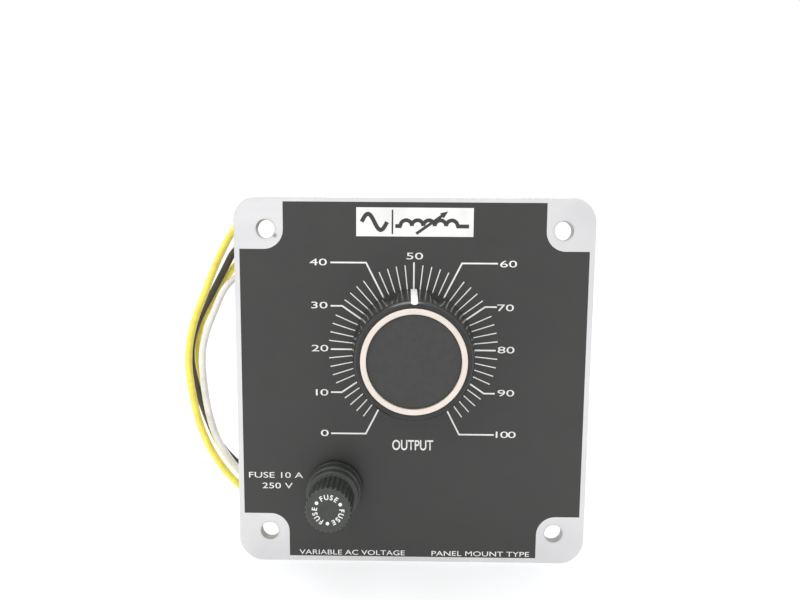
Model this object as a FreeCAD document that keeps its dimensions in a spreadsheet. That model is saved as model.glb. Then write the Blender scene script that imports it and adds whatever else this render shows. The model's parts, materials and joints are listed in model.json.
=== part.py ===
import FreeCAD, Part
import math
import os

import Sketcher

# Panel-mounted variable autotransformer with a face plate, dial knob, fuse holder and four fly leads.
# Frame: +X right, +Z up, the face plate looks along -Y. The origin is the middle of the plate's back face.
# All sizes are millimetres. "front" and "back" are distances along Y, unless a comment says otherwise.

SIZES = {
    # face plate
    "plate_thickness": 3.0,
    "plate_corner": 8.0,
    "plate_bevel": 0.35,
    "plate_half_width": 57.15,
    "plate_half_height": 60.1,
    "corner_hole_x": 47.03,
    "corner_hole_z": 49.7,
    "corner_hole_radius": 3.0,
    "shaft_hole_radius": 5.0,
    # how far a cutting tool runs past the piece that it cuts
    "past": 1.0,
    # dial axis
    "dial_height": 11.5,
    "shaft_radius": 3.175,
    "shaft_front": -16.5,
    "shaft_back": 53.0,
    "shaft_bevel": 0.5,
    "running_gap": 0.04,
    # knob, measured forward from the plate's front face
    "knob_gap": 0.8,
    "knob_base_radius": 19.65,
    "knob_top_radius": 17.5,
    "knob_shoulder": 21.8,
    "knob_face_radius": 16.7,
    "knob_face": 22.8,
    "knob_seat": 21.6,
    "knob_ring_radius": 15.43,
    "knob_ring_inner": 13.65,
    "knob_ring_front": 23.2,
    "knob_ring_edge": 0.25,
    "knob_disc_radius": 13.6,
    "knob_disc_front": 22.4,
    "knob_disc_edge": 0.15,
    "knob_insert_radius": 6.5,
    "knob_insert_front": 1.0,
    "knob_insert_depth": 15.0,
    "knob_bore_depth": 13.7,
    "knob_screw_radius": 2.0,
    "knob_screw_depth": 7.0,
    "knob_screw_start": 3.2,
    "knob_screw_end": 12.0,
    "knob_screw_hole_end": 25.0,
    "flute_start": 4.0,
    "flute_radius": 4.2,
    "flute_axis": 22.1,
    # base casting
    "base_front": 2.0,
    "base_back": 6.0,
    "base_radius": 40.0,
    "base_window_radius": 5.5,
    "base_window_circle": 25.0,
    "rib_start": 25.0,
    "lug_start": 20.5,
    "lug_end": 50.5,
    "lug_half_width": 18.0,
    "hub_radius": 10.0,
    "tap_radius": 1.5,
    "clamp_tap_front": 26.0,
    # bushings and retaining ring
    "bushing_radius": 5.0,
    "front_bushing_back": 14.0,
    "rear_bushing_front": 25.0,
    "keeper_radius": 6.0,
    "keeper_front": 0.9,
    "keeper_back": 1.6,
    "keeper_half_gap": 1.6,
    # studs, lock washers and nuts
    "stud_circle": 45.0,
    "stud_radius": 1.5,
    "stud_depth": 2.2,
    "stud_back": 11.0,
    "stud_clearance": 0.15,
    "ear_radius": 4.5,
    "washer_radius": 2.975,
    "washer_back": 6.7,
    "nut_radius": 3.175,
    "nut_back": 9.1,
    "thread_gap": 0.05,
    # coil
    "pad_inner": 21.0,
    "pad_outer": 39.0,
    "pad_back": 7.2,
    "coil_inner": 19.5,
    "coil_outer": 41.0,
    "coil_back": 35.2,
    "wrap_inner": 22.0,
    "wrap_outer": 38.5,
    "wrap_wall": 0.7,
    "wrap_inset": 2.4,
    # clamp, its screws and the stop pin
    "clamp_inner": 5.1,
    "clamp_radius": 25.0,
    "clamp_back": 37.6,
    "clamp_hole_radius": 1.6,
    "clamp_screw_circle": 7.5,
    "clamp_screw_front": 27.0,
    "pan_head_radius": 2.2,
    "pan_head_height": 1.3,
    "driver_slot_depth": 0.5,
    "driver_slot_half": 0.3,
    "stop_circle": 21.0,
    "stop_pin_radius": 1.5,
    "stop_pin_back": 45.0,
    # collector
    "collector_inner": 11.0,
    "collector_outer": 16.5,
    "collector_back": 38.4,
    "collector_tail_start": 14.0,
    "collector_tail_end": 47.0,
    "collector_tail_half": 3.5,
    "collector_pin_hole": 2.0,
    "solder_hole_radius": 1.2,
    "solder_hole_circle": 44.0,
    # brush arm
    "nose_radius": 4.9,
    "nose_front": 38.55,
    "thrust_front": 37.65,
    "thrust_back": 38.45,
    "arm_front": 41.5,
    "arm_back": 44.5,
    "arm_half_width": 8.7,
    "arm_tip_circle": 31.0,
    "boss_radius": 8.0,
    "boss_back": 51.0,
    "arm_screw_at": 48.0,
    "arm_screw_radius": 2.0,
    "arm_screw_start": 3.2,
    "arm_screw_end": 7.6,
    # brush, holder, cap and spring
    "brush_circle": 32.0,
    "brush_front": 35.3,
    "brush_back": 43.3,
    "brush_half_width": 3.5,
    "brush_half_height": 2.5,
    "holder_front": 36.9,
    "holder_back": 50.0,
    "holder_half_width": 4.7,
    "holder_half_height": 3.7,
    "holder_slot_half_width": 3.55,
    "holder_slot_half_height": 2.55,
    "brush_cap_back": 51.2,
    "brush_button_front": 48.5,
    "brush_button_radius": 1.2,
    "spring_front": 43.7,
    "spring_height": 5.9,
    "spring_pitch": 1.05,
    "spring_radius": 1.9,
    "spring_wire": 0.22,
    # collector finger
    "finger_thickness": 0.4,
    "finger_width": 5.0,
    "finger_root": 26.0,
    "finger_bend": 21.0,
    "finger_heel": 14.4,
    "finger_toe": 12.4,
    "finger_gap": 0.05,
    "finger_lift": 0.35,
    # terminal board, in its own turned frame
    "board_front": 26.0,
    "board_back": 27.6,
    "board_inner": 42.2,
    "board_outer": 50.0,
    "board_half_length": 17.5,
    "spacer_circle": 46.0,
    "spacer_offset": 14.6,
    "spacer_radius": 2.2,
    "board_screw_radius": 1.45,
    "board_screw_front": 2.5,
    "tab_start": 41.6,
    "tab_end": 54.6,
    "tab_thickness": 0.8,
    "tab_half_width": 2.1,
    "rivet_circle": 46.2,
    "rivet_radius": 0.8,
    "rivet_head_radius": 1.3,
    "rivet_head_height": 0.5,
    "socket_start": 50.3,
    "socket_end": 56.1,
    "socket_slot_end": 54.7,
    "socket_half_width": 2.75,
    "socket_slot_half": 2.13,
    "socket_wall": 1.0,
    "socket_slot_gap": 0.03,
    # fuse holder
    "fuse_x": -25.2,
    "fuse_z": -34.3,
    "fuse_barrel_radius": 6.4,
    "fuse_hole_radius": 6.5,
    "fuse_bore": 4.6,
    "fuse_bore_back": 28.0,
    "fuse_rear_hole": 1.5,
    "fuse_back": 36.0,
    "fuse_flange_radius": 9.0,
    "gasket_radius": 8.7,
    "gasket_front": -3.6,
    "fuse_flange_front": -5.4,
    "fuse_nut_radius": 9.6,
    "fuse_nut_back": 4.1,
    "fuse_washer_radius": 8.6,
    "fuse_washer_back": 0.6,
    # the fuse holder's two terminals
    "side_tab_front": 10.1,
    "side_tab_back": 10.9,
    "side_tab_start": 3.4,
    "side_tab_end": 15.6,
    "side_tab_half": 2.0,
    "contact_front": 7.0,
    "contact_end": 4.3,
    "contact_half": 1.5,
    "window_start": 3.9,
    "window_front": 10.0,
    "window_back": 11.1,
    "window_end": 8.0,
    "window_half": 2.1,
    "tab_eye_radius": 0.9,
    "side_eye_at": 13.6,
    "end_pin_radius": 1.45,
    "end_pin_front": 27.0,
    "end_plate_radius": 4.0,
    "end_plate_back": 36.8,
    "tongue_back": 44.0,
    "tongue_half": 2.0,
    "tongue_bottom": -1.4,
    "tongue_top": -0.6,
    "end_eye_at": 41.5,
    # cartridge, its spring and the cap
    "cartridge_radius": 3.1,
    "cartridge_front": -9.0,
    "cartridge_back": 22.75,
    "end_cap_length": 6.3,
    "end_cap_wall": 0.18,
    "end_cap_face": 0.5,
    "glass_outer": 2.9,
    "glass_inner": 2.35,
    "glass_inset": 0.6,
    "element_radius": 0.15,
    "fuse_spring_front": 23.35,
    "fuse_spring_height": 3.2,
    "fuse_spring_pitch": 1.0,
    "fuse_spring_radius": 2.6,
    "fuse_spring_wire": 0.25,
    "cap_back": 5.6,
    "cap_skirt_radius": 8.8,
    "cap_skirt_front": 9.0,
    "cap_collar_radius": 8.3,
    "cap_collar_front": 12.0,
    "grip_radius": 7.1,
    "grip_edge": 0.6,
    "cap_front": 22.2,
    "stem_radius": 4.3,
    "stem_back": -2.0,
    "clip_radius": 3.2,
    "clip_front": -9.05,
    "groove_radius": 0.55,
    "groove_circle": 7.2,
}

BOARD_ANGLE = 150.0
FUSE_TERMINAL_ANGLE = 180.0
TERMINAL_OFFSETS = ("-9.75", "-3.25", "3.25", "9.75")
SPACER_OFFSETS = ("spacer_offset", "-spacer_offset")
STUD_ANGLES = (70.0, 190.0, 310.0)
WINDOW_ANGLES = (10.0, 110.0, 150.0, 230.0, 270.0, 340.0)
CLAMP_SCREW_ANGLES = (90.0, 210.0, 330.0)
KNOB_FLUTES = 8
CAP_GROOVES = 28
HEX = 6
LEAD_DIAMETER = 2.5
JUMPER_DIAMETER = 1.8
STRIPPED_LENGTH = 8.0
STRIPPED_DIAMETER = 1.3

# a cylinder along +Z laid along +Y, and along -Y
AWAY = FreeCAD.Rotation(FreeCAD.Vector(1, 0, 0), -90)
TOWARDS = FreeCAD.Rotation(FreeCAD.Vector(1, 0, 0), 90)

doc = FreeCAD.newDocument("VariableTransformer")
sheet = doc.addObject("Spreadsheet::Sheet", "Sizes")
for row, (alias, size) in enumerate(SIZES.items(), start=1):
    sheet.set(f"A{row}", alias)
    sheet.set(f"B{row}", str(size))
    sheet.setAlias(f"B{row}", alias)
doc.recompute()

nodes = {}


# ---------------------------------------------------------------- sums of sheet cells

def split_sign(word):
    """A word's sign and the word itself: '-fuse_x' gives (-1, 'fuse_x')."""
    if word[0] == "-" and word[1:] in SIZES:
        return -1.0, word[1:]
    return 1.0, word


def number(terms):
    """Value of a sum of cell names and numbers, such as 'coil_back - wrap_inset'."""
    total = 0.0
    sign = 1.0
    for word in terms.split():
        if word in ("+", "-"):
            sign = 1.0 if word == "+" else -1.0
            continue
        own_sign, name = split_sign(word)
        total += sign * own_sign * (SIZES[name] if name in SIZES else float(name))
    return total


def formula(terms):
    """The same sum as an expression that reads the sheet."""
    words = []
    for word in terms.split():
        own_sign, name = split_sign(word)
        if name in SIZES:
            word = f"-1 * Sizes.{name}" if own_sign < 0 else f"Sizes.{name}"
        words.append(word)
    return " ".join(words)


def span(start, end):
    """The sum 'end less start', for two sums."""
    flipped = {"+": "-", "-": "+"}
    return f"{end} - " + " ".join(flipped.get(word, word) for word in start.split())


def bind(thing, **sums):
    """Bind properties of an object to sums of sheet cells. A double underscore stands for a dot."""
    for prop, terms in sums.items():
        thing.setExpression(prop.replace("__", "."), formula(terms))
    return thing


def place(thing, x, y, z, rotation=None):
    """Put an object at a point given as three sums."""
    if rotation is not None:
        thing.Placement = FreeCAD.Placement(FreeCAD.Vector(), rotation)
    return bind(thing, Placement__Base__x=x, Placement__Base__y=y, Placement__Base__z=z)


def keep(node, thing):
    """Name an object as a sub-part of the assembly."""
    thing.Label = node
    nodes[node] = thing


def turned(angle):
    """Rotation about the dial axis, anticlockwise as seen from the front."""
    return FreeCAD.Rotation(FreeCAD.Vector(0, -1, 0), angle)


# ---------------------------------------------------------------- primitives and booleans

def disc(radius, start, end, x="0", z="0"):
    """Cylinder along Y from start to end."""
    body = doc.addObject("Part::Cylinder", "Disc")
    bind(body, Radius=radius, Height=span(start, end))
    return place(body, x, start, z, AWAY)


def box(x, y, z):
    """Box between three pairs of sums, each from its lower to its higher side."""
    body = doc.addObject("Part::Box", "Block")
    bind(body, Length=span(*x), Width=span(*y), Height=span(*z))
    return place(body, x[0], y[0], z[0])


def hexagon(radius, start, end, x="0"):
    """Hexagonal prism along Y from start to end."""
    body = doc.addObject("Part::Prism", "Hex")
    body.Polygon = HEX
    bind(body, Circumradius=radius, Height=span(start, end))
    return place(body, x, start, "0", AWAY)


def upright(radius, start, end, y):
    """Cylinder along Z from start to end, at a distance y along the axis."""
    body = doc.addObject("Part::Cylinder", "Upright")
    bind(body, Radius=radius, Height=span(start, end))
    return place(body, "0", y, start)


def cut(base, *tools):
    """Base less every tool."""
    body = doc.addObject("Part::Cut", "Cut")
    body.Base = base
    body.Tool = tools[0] if len(tools) == 1 else union(*tools)
    return body


def union(*pieces):
    """One shape of several, or one group of separate solids where they don't touch."""
    body = doc.addObject("Part::MultiFuse", "Join")
    body.Shapes = list(pieces)
    body.Refine = True
    return body


def group(*pieces):
    """Separate solids kept together in one sub-part."""
    body = doc.addObject("Part::Compound", "Group")
    body.Links = list(pieces)
    return body


def ring(outer, inner, start, end, x="0", z="0"):
    """Washer-shaped piece along Y."""
    return cut(disc(outer, start, end, x, z), disc(inner, f"{start} - past", f"{end} + past", x, z))


def on_dial(thing, angle=0.0):
    """Move a piece built about the Y axis to the dial axis, turned by an angle."""
    return place(group(thing), "0", "0", "dial_height", turned(angle))


def on_fuse(thing, angle=0.0):
    """Move a piece built about the Y axis to the fuse holder's axis, turned by an angle."""
    return place(group(thing), "fuse_x", "0", "fuse_z", turned(angle))


def around(make, angles):
    """Copies of a piece about the Y axis at the given angles, each from a new call of its maker."""
    copies = []
    for angle in angles:
        copy = group(make())
        copy.Placement = FreeCAD.Placement(FreeCAD.Vector(), turned(angle))
        copies.append(copy)
    return copies


def screw(shank_radius, tip, seat, across, z="0"):
    """Pan-head screw along Y, with its driver slot."""
    top = f"{seat} + pan_head_height"
    slot = box((f"{across} - pan_head_radius - past", f"{across} + pan_head_radius + past"),
               (f"{top} - driver_slot_depth", f"{top} + past"),
               (f"{z} - driver_slot_half", f"{z} + driver_slot_half"))
    return union(disc(shank_radius, tip, seat, across, z), cut(disc("pan_head_radius", seat, top, across, z), slot))


def coil_spring(radius, wire, pitch, height):
    """Helical spring standing on the XY plane."""
    turns = Part.makeHelix(SIZES[pitch], SIZES[height], SIZES[radius])
    section = Part.Circle(FreeCAD.Vector(SIZES[radius], 0, 0), FreeCAD.Vector(0, 1, 0), SIZES[wire]).toShape()
    spring = doc.addObject("Part::Feature", "Spring")
    spring.Shape = Part.Wire(turns.Edges).makePipeShell([Part.Wire(section)], True, True)
    return spring


# ---------------------------------------------------------------- part design helpers

def sketch_on(body, role, name):
    """Sketch on one of a body's own origin planes."""
    plane = next(item for item in body.Origin.OriginFeatures if item.Role == role)
    sketch = body.newObject("Sketcher::SketchObject", name)
    sketch.AttachmentSupport = (plane, [""])
    sketch.MapMode = "FlatFace"
    return sketch


def hold(sketch, kind, axis, edge, terms):
    """Hold the start of an edge at a distance from the sketch origin, or on the axis itself."""
    if number(terms) == 0:
        sketch.addConstraint(Sketcher.Constraint("PointOnObject", edge, 1, axis))
        return
    row = sketch.addConstraint(Sketcher.Constraint(kind, -1, 1, edge, 1, number(terms)))
    sketch.setExpression(f"Constraints[{row}]", formula(terms))


def outline(sketch, points):
    """Closed outline of straight edges whose corners are pairs of sums."""
    corners = [FreeCAD.Vector(number(a), number(b), 0) for a, b in points]
    count = len(points)
    for i in range(count):
        sketch.addGeometry(Part.LineSegment(corners[i], corners[(i + 1) % count]))
    for i in range(count):
        sketch.addConstraint(Sketcher.Constraint("Coincident", i, 2, (i + 1) % count, 1))
    for i, (a, b) in enumerate(points):
        hold(sketch, "DistanceX", -2, i, a)
        hold(sketch, "DistanceY", -1, i, b)


def turned_body(name, points):
    """Body made by turning an outline about the Y axis; points are (radius, distance along the axis)."""
    body = doc.addObject("PartDesign::Body", name)
    sketch = sketch_on(body, "XY_Plane", f"{name}_outline")
    outline(sketch, points)
    feature = body.newObject("PartDesign::Revolution", f"{name}_turning")
    feature.Profile = (sketch, [""])
    feature.ReferenceAxis = (sketch, ["V_Axis"])
    feature.Angle = 360
    return body


# ---------------------------------------------------------------- face plate

def rounded_rectangle(sketch):
    """The plate's outline: four sides and four corner arcs, held at their distances from the middle."""
    w = SIZES["plate_half_width"]
    h = SIZES["plate_half_height"]
    r = SIZES["plate_corner"]
    sides = (
        ((-w + r, -h), (w - r, -h)),
        ((w, -h + r), (w, h - r)),
        ((w - r, h), (-w + r, h)),
        ((-w, h - r), (-w, -h + r)),
    )
    for (x0, z0), (x1, z1) in sides:
        sketch.addGeometry(Part.LineSegment(FreeCAD.Vector(x0, z0, 0), FreeCAD.Vector(x1, z1, 0)))
    corners = ((w - r, -h + r, -90), (w - r, h - r, 0), (-w + r, h - r, 90), (-w + r, -h + r, 180))
    for x, z, start in corners:
        full = Part.Circle(FreeCAD.Vector(x, z, 0), FreeCAD.Vector(0, 0, 1), r)
        sketch.addGeometry(Part.ArcOfCircle(full, math.radians(start), math.radians(start + 90)))
    for i in range(4):
        sketch.addConstraint(Sketcher.Constraint("Tangent", i, 2, 4 + i, 1))
        sketch.addConstraint(Sketcher.Constraint("Tangent", 4 + i, 2, (i + 1) % 4, 1))
        sketch.addConstraint(Sketcher.Constraint("Horizontal" if i % 2 == 0 else "Vertical", i))
    for kind, edge, terms in (("DistanceX", 1, "plate_half_width"), ("DistanceY", 2, "plate_half_height")):
        for first, second in (((-1, 1), (edge, 1)), (((edge + 2) % 4, 1), (-1, 1))):
            row = sketch.addConstraint(Sketcher.Constraint(kind, *first, *second, number(terms)))
            sketch.setExpression(f"Constraints[{row}]", formula(terms))
    row = sketch.addConstraint(Sketcher.Constraint("Radius", 4, r))
    sketch.setExpression(f"Constraints[{row}]", formula("plate_corner"))
    for i in range(5, 8):
        sketch.addConstraint(Sketcher.Constraint("Equal", 4, i))


def face_plate():
    """Rounded aluminium plate: corner holes, shaft hole, fuse hole and blind holes for the studs."""
    body = doc.addObject("PartDesign::Body", "FacePlate")
    sketch = sketch_on(body, "XZ_Plane", "plate_outline")
    rounded_rectangle(sketch)
    pad = body.newObject("PartDesign::Pad", "plate_sheet")
    pad.Profile = (sketch, [""])
    bind(pad, Length="plate_thickness")
    doc.recompute()
    front = -SIZES["plate_thickness"]
    edges = []
    for i, edge in enumerate(pad.Shape.Edges, start=1):
        if all(abs(v.Point.y - front) < 1e-6 for v in edge.Vertexes):
            edges.append(f"Edge{i}")
    bevel = body.newObject("PartDesign::Chamfer", "plate_edge")
    bevel.Base = (pad, edges)
    bind(bevel, Size="plate_bevel")
    through = ("-plate_thickness - past", "past")
    holes = [disc("shaft_hole_radius", *through, "0", "dial_height"),
             disc("fuse_hole_radius", *through, "fuse_x", "fuse_z")]
    for x in ("corner_hole_x", "-corner_hole_x"):
        for z in ("corner_hole_z", "-corner_hole_z"):
            holes.append(disc("corner_hole_radius", *through, x, z))
    stud_holes = around(lambda: disc("stud_radius", "-stud_depth", "past", "stud_circle"), STUD_ANGLES)
    keep("face_plate", cut(body, *holes, on_dial(group(*stud_holes))))


# ---------------------------------------------------------------- base, studs and bushings

def base_casting():
    """Cast spider: a disc with windows, three ears, the lug for the terminal board and the long hub."""
    floor = disc("base_radius", "base_front", "base_back")
    hub = disc("hub_radius", "base_front", "coil_back")
    ears = around(lambda: disc("ear_radius", "0", "base_back", "stud_circle"), STUD_ANGLES)
    ribs = around(lambda: box(("rib_start", "stud_circle"), ("base_front", "base_back"),
                              ("-ear_radius", "ear_radius")), STUD_ANGLES)
    lug = around(lambda: box(("lug_start", "lug_end"), ("base_front", "base_back"),
                             ("-lug_half_width", "lug_half_width")), (BOARD_ANGLE,))
    back = "base_back + past"
    windows = around(lambda: disc("base_window_radius", "0", back, "base_window_circle"), WINDOW_ANGLES)
    stud_holes = around(lambda: disc("stud_radius + stud_clearance", "-past", back, "stud_circle"), STUD_ANGLES)
    taps = around(lambda: disc("tap_radius", "clamp_tap_front", "coil_back + past", "clamp_screw_circle"),
                  CLAMP_SCREW_ANGLES)
    bore = disc("bushing_radius", "base_front - past", "coil_back + past")
    board_taps = []
    for z in SPACER_OFFSETS:
        board_taps += around(lambda: disc("tap_radius", "base_front - past", back, "spacer_circle", z),
                             (BOARD_ANGLE,))
    solid = union(floor, hub, *ears, *ribs, *lug)
    keep("base_casting", on_dial(cut(solid, bore, *windows, *stud_holes, *taps, *board_taps)))


def stud_hardware():
    """Studs set in the back of the plate, with a lock washer and a hex nut on each."""
    studs = around(lambda: disc("stud_radius", "-stud_depth", "stud_back", "stud_circle"), STUD_ANGLES)
    washers = around(lambda: ring("washer_radius", "stud_radius + stud_clearance", "base_back", "washer_back",
                                  "stud_circle"), STUD_ANGLES)
    nuts = around(lambda: cut(hexagon("nut_radius", "washer_back", "nut_back", "stud_circle"),
                              disc("stud_radius + thread_gap", "base_back", "stud_back", "stud_circle")),
                  STUD_ANGLES)
    keep("panel_studs", on_dial(group(*studs)))
    keep("lock_washers", on_dial(group(*washers)))
    keep("stud_nuts", on_dial(group(*nuts)))


def bushings():
    """Two oil-filled bronze bushings in the hub, and the ring that keeps the shaft from sliding back."""
    bore = "shaft_radius + running_gap"
    keep("front_bushing", on_dial(ring("bushing_radius", bore, "base_front", "front_bushing_back")))
    keep("rear_bushing", on_dial(ring("bushing_radius", bore, "rear_bushing_front", "clamp_back")))
    gap = box(("-keeper_half_gap", "keeper_half_gap"), ("0", "keeper_back + past"), ("-keeper_radius - past", "0"))
    keep("retaining_ring", on_dial(cut(ring("keeper_radius", "shaft_radius", "keeper_front", "keeper_back"), gap)))


# ---------------------------------------------------------------- coil

def coil():
    """Strip-wound core in its insulating wrap, and the copper winding closed round it."""
    keep("coil_pad", on_dial(ring("pad_outer", "pad_inner", "base_back", "pad_back")))
    wrap = ("pad_back + wrap_inset", "coil_back - wrap_inset")
    core = ("pad_back + wrap_inset + wrap_wall", "coil_back - wrap_inset - wrap_wall")
    winding = turned_body("Winding", [("coil_inner", "pad_back"), ("coil_outer", "pad_back"),
                                      ("coil_outer", "coil_back"), ("coil_inner", "coil_back")])
    keep("winding", on_dial(cut(winding, ring("wrap_outer", "wrap_inner", *wrap))))
    core_space = ring("wrap_outer - wrap_wall", "wrap_inner + wrap_wall", *core)
    keep("core_wrap", on_dial(cut(ring("wrap_outer", "wrap_inner", *wrap), core_space)))
    keep("toroid_core", on_dial(ring("wrap_outer - wrap_wall", "wrap_inner + wrap_wall", *core)))


def coil_clamp():
    """Insulating plate that holds the coil down, its three screws and the pin that stops the brush arm."""
    through = ("coil_back - past", "clamp_back + past")
    plate = ring("clamp_radius", "clamp_inner", "coil_back", "clamp_back")
    holes = around(lambda: disc("clamp_hole_radius", *through, "clamp_screw_circle"), CLAMP_SCREW_ANGLES)
    pin_hole = disc("stop_pin_radius", *through, "0", "-stop_circle")
    keep("coil_clamp", on_dial(cut(plate, *holes, pin_hole)))
    screws = around(lambda: screw("tap_radius", "clamp_screw_front", "clamp_back", "clamp_screw_circle"),
                    CLAMP_SCREW_ANGLES)
    keep("clamp_screws", on_dial(group(*screws)))
    keep("stop_pin", on_dial(disc("stop_pin_radius", "coil_back", "stop_pin_back", "0", "-stop_circle")))


# ---------------------------------------------------------------- collector, shaft and brush

def collector():
    """Brass collector on the clamp, with a tail that leaves through the gap in the brush's travel."""
    through = ("clamp_back - past", "collector_back + past")
    flat = ring("collector_outer", "collector_inner", "clamp_back", "collector_back")
    tail = box(("-collector_tail_half", "collector_tail_half"), ("clamp_back", "collector_back"),
               ("-collector_tail_end", "-collector_tail_start"))
    pin_hole = disc("collector_pin_hole", *through, "0", "-stop_circle")
    solder_hole = disc("solder_hole_radius", *through, "0", "-solder_hole_circle")
    keep("collector_plate", on_dial(cut(union(flat, tail), pin_hole, solder_hole)))


def shaft():
    """Steel shaft from inside the knob to the back of the brush arm, and the washer under the arm."""
    bar = turned_body("Shaft", [("0", "shaft_front"), ("shaft_radius", "shaft_front"),
                                ("shaft_radius", "shaft_back - shaft_bevel"),
                                ("shaft_radius - shaft_bevel", "shaft_back"), ("0", "shaft_back")])
    keep("dial_shaft", on_dial(bar))
    keep("thrust_washer", on_dial(ring("nose_radius", "shaft_radius + running_gap", "thrust_front", "thrust_back")))


def brush_arm():
    """Arm with its nose, boss and rounded tip, and the screw that locks it to the shaft."""
    bar = box(("-arm_half_width", "arm_half_width"), ("arm_front", "arm_back"), ("0", "arm_tip_circle"))
    solid = union(disc("arm_half_width", "arm_front", "arm_back"), bar,
                  disc("arm_half_width", "arm_front", "arm_back", "0", "arm_tip_circle"),
                  disc("nose_radius", "nose_front", "arm_front"), disc("boss_radius", "arm_back", "boss_back"))
    bore = disc("shaft_radius", "nose_front - past", "shaft_back")
    screw_hole = upright("arm_screw_radius", "-boss_radius - past", "0", "arm_screw_at")
    keep("brush_arm", on_dial(cut(solid, bore, holder_outside("arm_front - past", "arm_back + past"), screw_hole)))
    keep("arm_set_screw", on_dial(upright("arm_screw_radius", "-arm_screw_end", "-arm_screw_start", "arm_screw_at")))


def holder_outside(front, back):
    """The brush holder's outside, between two distances along the axis."""
    return box(("-holder_half_width", "holder_half_width"), (front, back),
               ("brush_circle - holder_half_height", "brush_circle + holder_half_height"))


def brush_parts():
    """Brass holder in the arm's tip, the brush inside it, and the cap and spring behind the brush."""
    inside = box(("-holder_slot_half_width", "holder_slot_half_width"),
                 ("holder_front - past", "holder_back + past"),
                 ("brush_circle - holder_slot_half_height", "brush_circle + holder_slot_half_height"))
    keep("brush_holder", on_dial(cut(holder_outside("holder_front", "holder_back"), inside)))
    block = box(("-brush_half_width", "brush_half_width"), ("brush_front", "brush_back"),
                ("brush_circle - brush_half_height", "brush_circle + brush_half_height"))
    keep("carbon_brush", on_dial(block))
    button = disc("brush_button_radius", "brush_button_front", "holder_back", "0", "brush_circle")
    keep("brush_cap", on_dial(union(holder_outside("holder_back", "brush_cap_back"), button)))
    spring = coil_spring("spring_radius", "spring_wire", "spring_pitch", "spring_height")
    keep("brush_spring", place(spring, "0", "spring_front", "dial_height + brush_circle", AWAY))


def collector_finger():
    """Bronze leaf under the arm: flat where it is held, then sloping in to touch the collector."""
    body = doc.addObject("PartDesign::Body", "Finger")
    sketch = sketch_on(body, "YZ_Plane", "finger_outline")
    toe = "collector_back + finger_gap"
    outline(sketch, [("arm_front - finger_thickness", "finger_root"), ("arm_front", "finger_root"),
                     ("arm_front", "finger_bend"),
                     ("collector_back + finger_lift + finger_thickness", "finger_heel"),
                     (f"{toe} + finger_thickness", "finger_toe"), (toe, "finger_toe"),
                     ("collector_back + finger_lift", "finger_heel"),
                     ("arm_front - finger_thickness", "finger_bend")])
    pad = body.newObject("PartDesign::Pad", "finger_leaf")
    pad.Profile = (sketch, [""])
    pad.Midplane = True
    bind(pad, Length="finger_width")
    keep("collector_finger", on_dial(body))


# ---------------------------------------------------------------- knob

def facing_front(thing):
    """Turn a piece whose Y runs forward from the plate's front, half a turn about X, and move it to the dial axis."""
    half_turn = FreeCAD.Rotation(FreeCAD.Vector(1, 0, 0), 180)
    return place(group(thing), "0", "-plate_thickness", "dial_height", half_turn)


def knob():
    """Tapered moulded knob with short shallow finger flutes, its brass insert and its set screw."""
    body = turned_body("KnobBody", [
        ("0", "knob_insert_depth"), ("knob_insert_radius", "knob_insert_depth"), ("knob_insert_radius", "knob_gap"),
        ("knob_base_radius", "knob_gap"), ("knob_top_radius", "knob_shoulder"), ("knob_face_radius", "knob_face"),
        ("knob_ring_radius", "knob_face"), ("knob_ring_radius", "knob_seat"), ("0", "knob_seat")])
    pitch = 360.0 / KNOB_FLUTES
    flute_angles = [(step + 0.5) * pitch for step in range(KNOB_FLUTES)]
    flutes = around(lambda: disc("flute_radius", "flute_start", "knob_face + past", "flute_axis"), flute_angles)
    keep("knob_body", facing_front(cut(body, *flutes, knob_screw_hole())))
    insert = cut(disc("knob_insert_radius", "knob_insert_front", "knob_insert_depth"),
                 disc("shaft_radius", "0", "knob_bore_depth"), knob_screw_hole())
    keep("knob_insert", facing_front(insert))
    keep("knob_set_screw", facing_front(upright("knob_screw_radius", "knob_screw_start", "knob_screw_end",
                                                "knob_screw_depth")))


def knob_screw_hole():
    """Hole from the axis out through the side of the knob."""
    return upright("knob_screw_radius", "0", "knob_screw_hole_end", "knob_screw_depth")


def knob_trim():
    """Metal ring and pebbled disc let into the face of the knob."""
    keep("knob_ring", facing_front(turned_body("KnobRing", [
        ("knob_ring_inner", "knob_seat"), ("knob_ring_radius", "knob_seat"),
        ("knob_ring_radius", "knob_ring_front - knob_ring_edge"),
        ("knob_ring_radius - knob_ring_edge", "knob_ring_front"),
        ("knob_ring_inner + knob_ring_edge", "knob_ring_front"),
        ("knob_ring_inner", "knob_ring_front - knob_ring_edge")])))
    keep("knob_disc", facing_front(turned_body("KnobDisc", [
        ("0", "knob_seat"), ("knob_disc_radius", "knob_seat"),
        ("knob_disc_radius", "knob_disc_front - knob_disc_edge"),
        ("knob_disc_radius - knob_disc_edge", "knob_disc_front"), ("0", "knob_disc_front")])))


# ---------------------------------------------------------------- terminal board

def terminal_board():
    """Phenolic board on two spacers held by two screws."""
    through = ("board_front - past", "board_back + past")
    board = box(("board_inner", "board_outer"), ("board_front", "board_back"),
                ("-board_half_length", "board_half_length"))
    rivet_holes = [disc("rivet_radius", *through, "rivet_circle", z) for z in TERMINAL_OFFSETS]
    screw_holes = [disc("clamp_hole_radius", *through, "spacer_circle", z) for z in SPACER_OFFSETS]
    keep("terminal_board", on_dial(cut(board, *rivet_holes, *screw_holes), BOARD_ANGLE))
    spacers = [ring("spacer_radius", "clamp_hole_radius", "base_back", "board_front", "spacer_circle", z)
               for z in SPACER_OFFSETS]
    keep("board_spacers", on_dial(group(*spacers), BOARD_ANGLE))
    screws = [screw("board_screw_radius", "board_screw_front", "board_back", "spacer_circle", z)
              for z in SPACER_OFFSETS]
    keep("board_screws", on_dial(group(*screws), BOARD_ANGLE))


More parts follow.
